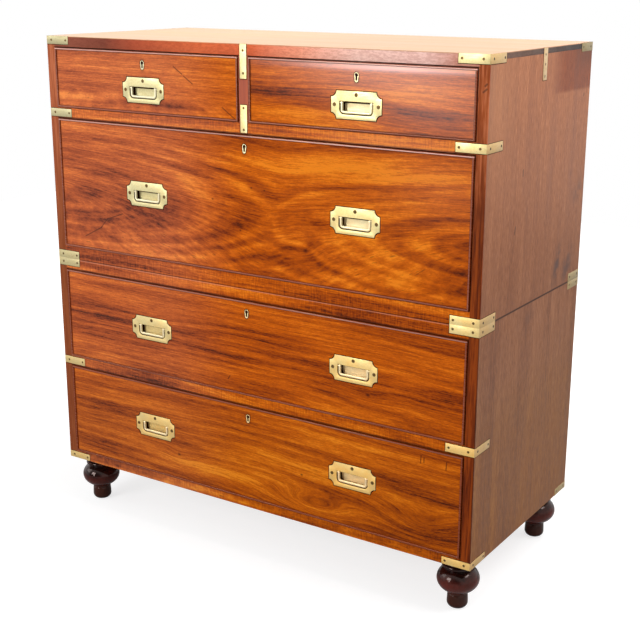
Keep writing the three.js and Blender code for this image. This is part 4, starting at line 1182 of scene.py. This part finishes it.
class CHEST_OT_locks(Maker, bpy.types.Operator):
    """Makes the keyhole plates, the lock plates behind the fronts, and the bolts' finish"""

    bl_idname = "chest.locks"
    bl_label = "Locks"

    def make(self, sizes, colours):
        brass = brass_metal("lock brass", colours, tarnish=0.4)
        pale = brass_metal("keyhole brass", colours, tarnish=0.2, shine=0.2)
        for name in DRAWERS:
            lo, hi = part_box(f"{name}_drawer_front")
            x, z = (lo.x + hi.x) / 2, hi.z - KEYHOLE_DROP
            outline, place = key_outline(x, z, 4.7 * MM, 3.5 * MM), on_front(BRASS_FACE - 0.05 * MM)
            looks = (pale, f"{name}_drawer", 0.2 * MM)
            make_plate(f"{name}_escutcheon", outline, place, (0, sizes.strip), *looks, holes=(key_hole(x, z),))
            self.lock_plate(f"{name}_lock_plate", x, hi.z, brass, f"{name}_drawer")
            dress(brass, f"{name}_drawer_lock_bolt")

    def lock_plate(self, name, x, top, brass, body):
        half, high, tall, thick = 32.05 * MM, top - 3.95 * MM, 42.1 * MM, 0.95 * MM
        outline = [(x - half, high - tall), (x + half, high - tall), (x + half, high), (x - half, high)]
        bm = bmesh.new()
        block(bm, outline, on_front(), LOCK_DEEP - thick, LOCK_DEEP)
        boss, ease = 2.6 * MM, 0.3 * MM
        start, end = (Vector((x, FACE + deep * MM, top - KEYHOLE_DROP)) for deep in (22.5, 23.9))
        rod(bm, start, end, boss, 20, ease)
        make_piece(name, bm, brass, body, 0.25 * MM)


class CHEST_OT_feet(Maker, bpy.types.Operator):
    """Turns the four feet: a ring under the case, a bulb, a neck with faint lines and a rounded stem"""

    bl_idname = "chest.feet"
    bl_label = "Feet"

    def make(self, sizes, colours):
        stain = stained_foot("foot stain", colours)
        for end in ("front", "rear"):
            for word in SIDES:
                node = f"{end}_{word}_foot"
                lo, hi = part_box(node)
                bm = bmesh.new()
                lathe(bm, self.profile(hi.z), (lo.x + hi.x) / 2, (lo.y + hi.y) / 2, sizes.foot_sides)
                make_piece(f"{end}_{word}_turned_foot", bm, stain, "lower_case", 0, (node,), sharp=60)

    def profile(self, spigot):
        """Radius and height in metres, down from the spigot that goes into the case."""
        under = 104.7
        points = [(0, spigot / MM), (12, spigot / MM), (12, under), (28.6, under)]
        points += arc(28.2, under - 4.2, 3.6, 70, -80, 8)
        points += [(27.6, 94.6), (27.2, 93.4), (27.4, 92.2)]
        points += arc(27.6, 87.6, 4.2, 75, -75, 10)
        points += [(27.8, 82.6), (27.4, 81.6)]
        middle, bulb, half = 59.5, 40.5, 29.5
        points += [(bulb * u, middle + half * v) for u, v in arc(0, 0, 1, 47.5, -61.5, 28)]
        points += [(19.5, 32.4), (19.1, 31.4), (18.8, 30.9), (19.1, 30.3), (19.2, 29.0), (18.8, 28.6), (19.2, 28.2)]
        points += [(19.4, 25), (19.8, 18), (20, 11.5), *arc(9, 11, 11, 0, -90, 10), (0, 0)]
        return [(radius * MM, height * MM) for radius, height in points]


class CHEST_OT_polish_and_shade(Maker, bpy.types.Operator):
    """Lays the thin dark line of polish and painted shade round every piece of brass, and paints shade on the
    handles' dish walls, round the edges of their floors and inside the keyholes
    """

    bl_idname = "chest.old_polish"
    bl_label = "Old polish"

    def make(self, sizes, colours):
        shade = Shade("old polish")
        cloud = shade.noise(shade.place, 240)
        tint = shade.mix(cloud, colours.old_polish, colours.old_polish * 2.2)
        dark_finish = shade.varnished(tint, shade.remap(cloud, 0.3, 0.7, 0.5, 0.7), cloud, 0.08, 0.1)
        film, deep = 0.04 * MM, 1 * MM
        meshes = {}
        wide, under = sizes.polish_line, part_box("lower_left_side")[0].z
        # The dark line round the straps and the strips: polish and painted shade together
        for _, _, side, body, lo, hi, tip in corner_straps():
            outline = strap_plan(sizes, side, tip - wide, FACE - film, hi.y + wide, SIDE + film)
            bm = meshes.setdefault(body, bmesh.new())
            block(bm, outline, upright, max(lo.z - wide, under), min(hi.z + wide, TOP))
        for name, outline, place in strips(FACE - film, SIDE + film, wide):
            block(meshes["upper_case"], outline, place, 0, deep)
        for name, hands in DRAWERS.items():
            bm = meshes[f"{name}_drawer"] = bmesh.new()
            for hand in hands:
                self.round_plate(bm, *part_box(f"{name}_drawer_{hand}handle_plate"), film, deep, sizes)
            lo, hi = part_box(f"{name}_drawer_front")
            x, z = (lo.x + hi.x) / 2, hi.z - KEYHOLE_DROP
            # The dark line round each keyhole plate, and painted shade lining the keyhole
            around, hole = key_outline(x, z, 5.6 * MM, 4.2 * MM), key_hole(x, z, -0.8 * MM)
            block(bm, around, on_front(BRASS_FACE - 0.02 * MM), 0, deep, (hole,))
            # Painted shade: a dark plug deep in the keyhole
            block(bm, key_hole(x, z), on_front(), 2 * MM, 4 * MM)
        for body, bm in meshes.items():
            make_piece(f"{body}_old_polish", bm, dark_finish, body)

    def round_plate(self, bm, lo, hi, film, deep, sizes):
        """The dark line round one handle plate, painted shade on its dish's wall, and painted shadow along the edge
        of its floor, widest on the left and at the top.
        """
        x, place = (lo.x + hi.x) / 2, on_front(lo.y)
        outer, inner = (recess_outline(sizes, x, hi.z, grow * MM) for grow in (0.3, -0.8))
        outline = plate_outline(lo, hi, sizes.scoop, 1.3 * sizes.polish_line)
        block(bm, outline, on_front(FACE - film), 0, deep, (outer,))
        # Painted shade: a dark lining on the dish's wall
        block(bm, outer, place, 1.6 * MM, sizes.dish - 0.1 * MM, (inner,))
        # Painted shadow along the edge of the dish's floor, under its top edge and by its left wall
        shaded = hi.z - sizes.recess_drop - 4.0 * MM
        lit_part = [(u, min(v, shaded)) for u, v in recess_outline(sizes, x + 2.4 * MM, hi.z, -3.4 * MM)]
        block(bm, inner, place, sizes.dish - 0.3 * MM, sizes.dish - 0.05 * MM, (lit_part,))


class CHEST_OT_screws(Maker, bpy.types.Operator):
    """Sets a slotted screw at every screw place, turned at random, one mesh for each body"""

    bl_idname = "chest.screws"
    bl_label = "Screws"

    # Where the screws are in each strap, strip and plate, in millimetres from its tip, top, foot, end or middle
    FROM_TIP, FROM_FRONT, FROM_REAR = (6.5, 45.5), (12, 54), (9, 45)
    IN_TOP_STRIP, IN_RAIL_STRIP, IN_SIDE_STRIP = (12, 53), (46, 6), (12, 29, 50)
    PLATE_TOP, PLATE_END, LOCK_HALF, LOCK_DROPS = 6.3, 6.8, 27, (9, 41)

    def make(self, sizes, colours):
        metal = dulled_metal("screw metal", colours)
        head = self.head(metal)
        tree = self.tree()
        for body, spots in self.places(sizes).items():
            self.row(f"{body}_screws", spots, tree, head, metal, body, sizes)
        bpy.data.objects.remove(head)

    def places(self, sizes):
        """Each body's screws: place, the way each one faces, and its width."""
        spots = {body: [] for body in ("lower_case", "upper_case", *(f"{name}_drawer" for name in DRAWERS))}
        small, front, back = sizes.strap_screw, (0, -1, 0), (0, 1, 0)
        for name, _, side, body, lo, hi, tip in corner_straps():
            z, out, case = (lo.z + hi.z) / 2, (side, 0, 0), spots[body]
            case += [((side * (tip + far * MM), BRASS_FACE, z), front, small) for far in self.FROM_TIP]
            case += [((side * EDGE, FACE + far * MM, z), out, small) for far in self.FROM_FRONT]
            for far in self.FROM_REAR if "rail" not in name else ():
                case.append(((side * EDGE, BACK - far * MM, z), out, small))
                case.append(((side * (SIDE - far * MM), BRASS_BACK, z), back, small))
        case = spots["upper_case"]
        heights = [TOP - drop * MM for drop in self.IN_TOP_STRIP]
        for z in heights + [RAIL_STRIP_LOW + rise * MM for rise in self.IN_RAIL_STRIP]:
            case.append(((0, BRASS_FACE - 0.05 * MM, z), front, small))
        for side in SIDES.values():
            for drop in self.IN_SIDE_STRIP:
                case.append(((side * EDGE, MIDDLE, TOP - drop * MM), (side, 0, 0), small))
        end, half = self.PLATE_END * MM, self.LOCK_HALF * MM
        for name, hands in DRAWERS.items():
            drawer = spots[f"{name}_drawer"]
            for hand in hands:
                lo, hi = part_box(f"{name}_drawer_{hand}handle_plate")
                x, z = (lo.x + hi.x) / 2, (lo.z + hi.z) / 2
                for at in ((x, hi.z - self.PLATE_TOP * MM), (lo.x + end, z), (hi.x - end, z)):
                    drawer.append(((at[0], lo.y, at[1]), front, sizes.plate_screw))
            lo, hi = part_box(f"{name}_drawer_front")
            for aside in (-half, half):
                for drop in self.LOCK_DROPS:
                    at = ((lo.x + hi.x) / 2 + aside, FACE + LOCK_DEEP, hi.z - drop * MM)
                    drawer.append((at, back, sizes.lock_screw))
        return spots

    def head(self, metal):
        """A slotted head, one unit wide: two half rounds on a low disc."""
        bm = bmesh.new()
        block(bm, arc(0, 0, 0.5, 0, 345, 23), upright, -0.1, 0.006)
        gap, radius = 0.075, 0.47
        start = math.degrees(math.asin(gap / radius))
        for side in (1, -1):
            half = [(u, v * side) for u, v in arc(0, 0, radius, start, 180 - start, 10)]
            inner = [(u * 0.82, v * 0.82 + side * gap * 0.18) for u, v in half]
            bar(bm, [ring(bm, half, upright, -0.05), ring(bm, half, upright, 0.012), ring(bm, inner, upright, 0.022)])
        return stand("screw_head", closed_mesh("screw_head", bm, metal))

    def tree(self):
        """Points in, one screw on each: facing its own way, turned by chance."""
        tree = bpy.data.node_groups.new("Screws", "GeometryNodeTree")
        ways = dict(Places="Geometry", Head="Object", Widening="Float", Turns="Int", Metal="Material")
        for name, kind in ways.items():
            tree.interface.new_socket(name, in_out="INPUT", socket_type=f"NodeSocket{kind}")
        tree.interface.new_socket("Screws", in_out="OUTPUT", socket_type="NodeSocketGeometry")
        nodes = Nodes(tree)
        given = nodes.all("NodeGroupInput")
        head = nodes.get("GeometryNodeObjectInfo", at={"Object": given["Head"]}, out="Geometry")
        facing = nodes.get("GeometryNodeInputNamedAttribute", "facing", data_type="FLOAT_VECTOR")
        width = nodes.get("GeometryNodeInputNamedAttribute", "width", data_type="FLOAT")
        align = nodes.get("FunctionNodeAlignRotationToVector", at={"Vector": facing}, axis="Z")
        chance = {3: 2 * math.pi, "Seed": given["Turns"]}
        spin = nodes.join(0.0, 0.0, nodes.get("FunctionNodeRandomValue", at=chance, out=1, data_type="FLOAT"))
        turn = nodes.get("FunctionNodeRotateRotation", align, spin, rotation_space="LOCAL")
        at = {"Points": given["Places"], "Instance": head, "Rotation": turn, "Scale": width * given["Widening"]}
        real = nodes.get("GeometryNodeRealizeInstances", nodes.get("GeometryNodeInstanceOnPoints", at=at))
        nodes.make("NodeGroupOutput", nodes.get("GeometryNodeSetMaterial", real, at={"Material": given["Metal"]}))
        return tree

    def row(self, name, spots, tree, head, metal, body, sizes):
        mesh = bpy.data.meshes.new(name)
        places, facings, widths = zip(*spots)
        mesh.from_pydata(places, [], [])
        facing = mesh.attributes.new("facing", "FLOAT_VECTOR", "POINT")
        facing.data.foreach_set("vector", [part for way in facings for part in way])
        mesh.attributes.new("width", "FLOAT", "POINT").data.foreach_set("value", widths)
        piece = stand(name, mesh)
        nodes = piece.modifiers.new("Screws", "NODES")
        nodes.node_group = tree
        sockets = {item.name: item.identifier for item in tree.interface.items_tree if item.in_out == "INPUT"}
        for key, value in dict(Head=head, Widening=1.0, Turns=sizes.screw_turns, Metal=metal).items():
            nodes[sockets[key]] = value
        plain_mesh(piece)
        settle(piece, body)


class CHEST_PT_panel(bpy.types.Panel):
    """Lists the chest's pieces, sizes and colours"""

    bl_label = "Campaign chest"
    bl_idname = "CHEST_PT_panel"
    bl_space_type = "VIEW_3D"
    bl_region_type = "UI"
    bl_category = "Chest"

    def draw(self, context):
        for maker in MAKERS:
            self.layout.operator(maker.bl_idname)
        for group in (context.scene.chest_sizes, context.scene.chest_colours):
            box = self.layout.box()
            for name in group.__annotations__:
                box.prop(group, name)


MAKERS = (
    CHEST_OT_stage,
    CHEST_OT_case_wood,
    CHEST_OT_drawer_wood,
    CHEST_OT_cockbeads,
    CHEST_OT_straps,
    CHEST_OT_handles,
    CHEST_OT_locks,
    CHEST_OT_feet,
    CHEST_OT_polish_and_shade,
    CHEST_OT_screws,
)
CLASSES = (ChestSizes, ChestColours, *MAKERS, CHEST_PT_panel)


def register():
    for made in CLASSES:
        bpy.utils.register_class(made)
    bpy.types.Scene.chest_sizes = PointerProperty(type=ChestSizes)
    bpy.types.Scene.chest_colours = PointerProperty(type=ChestColours)


def unregister():
    del bpy.types.Scene.chest_sizes
    del bpy.types.Scene.chest_colours
    for made in reversed(CLASSES):
        bpy.utils.unregister_class(made)


def main():
    register()
    bpy.context.scene.view_settings.view_transform = "Standard"
    bpy.ops.chest.stage()
    bpy.ops.chest.case_wood()
    bpy.ops.chest.drawer_wood()
    bpy.ops.chest.cockbeads()
    bpy.ops.chest.straps()
    bpy.ops.chest.handles()
    bpy.ops.chest.locks()
    bpy.ops.chest.feet()
    bpy.ops.chest.old_polish()
    bpy.ops.chest.screws()
    boxes = {"cad": CAD_BOX, "visual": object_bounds()}
    {name: [list(low), list(high)] for name, (low, high) in boxes.items()}


if __name__ == "__main__":
    main()
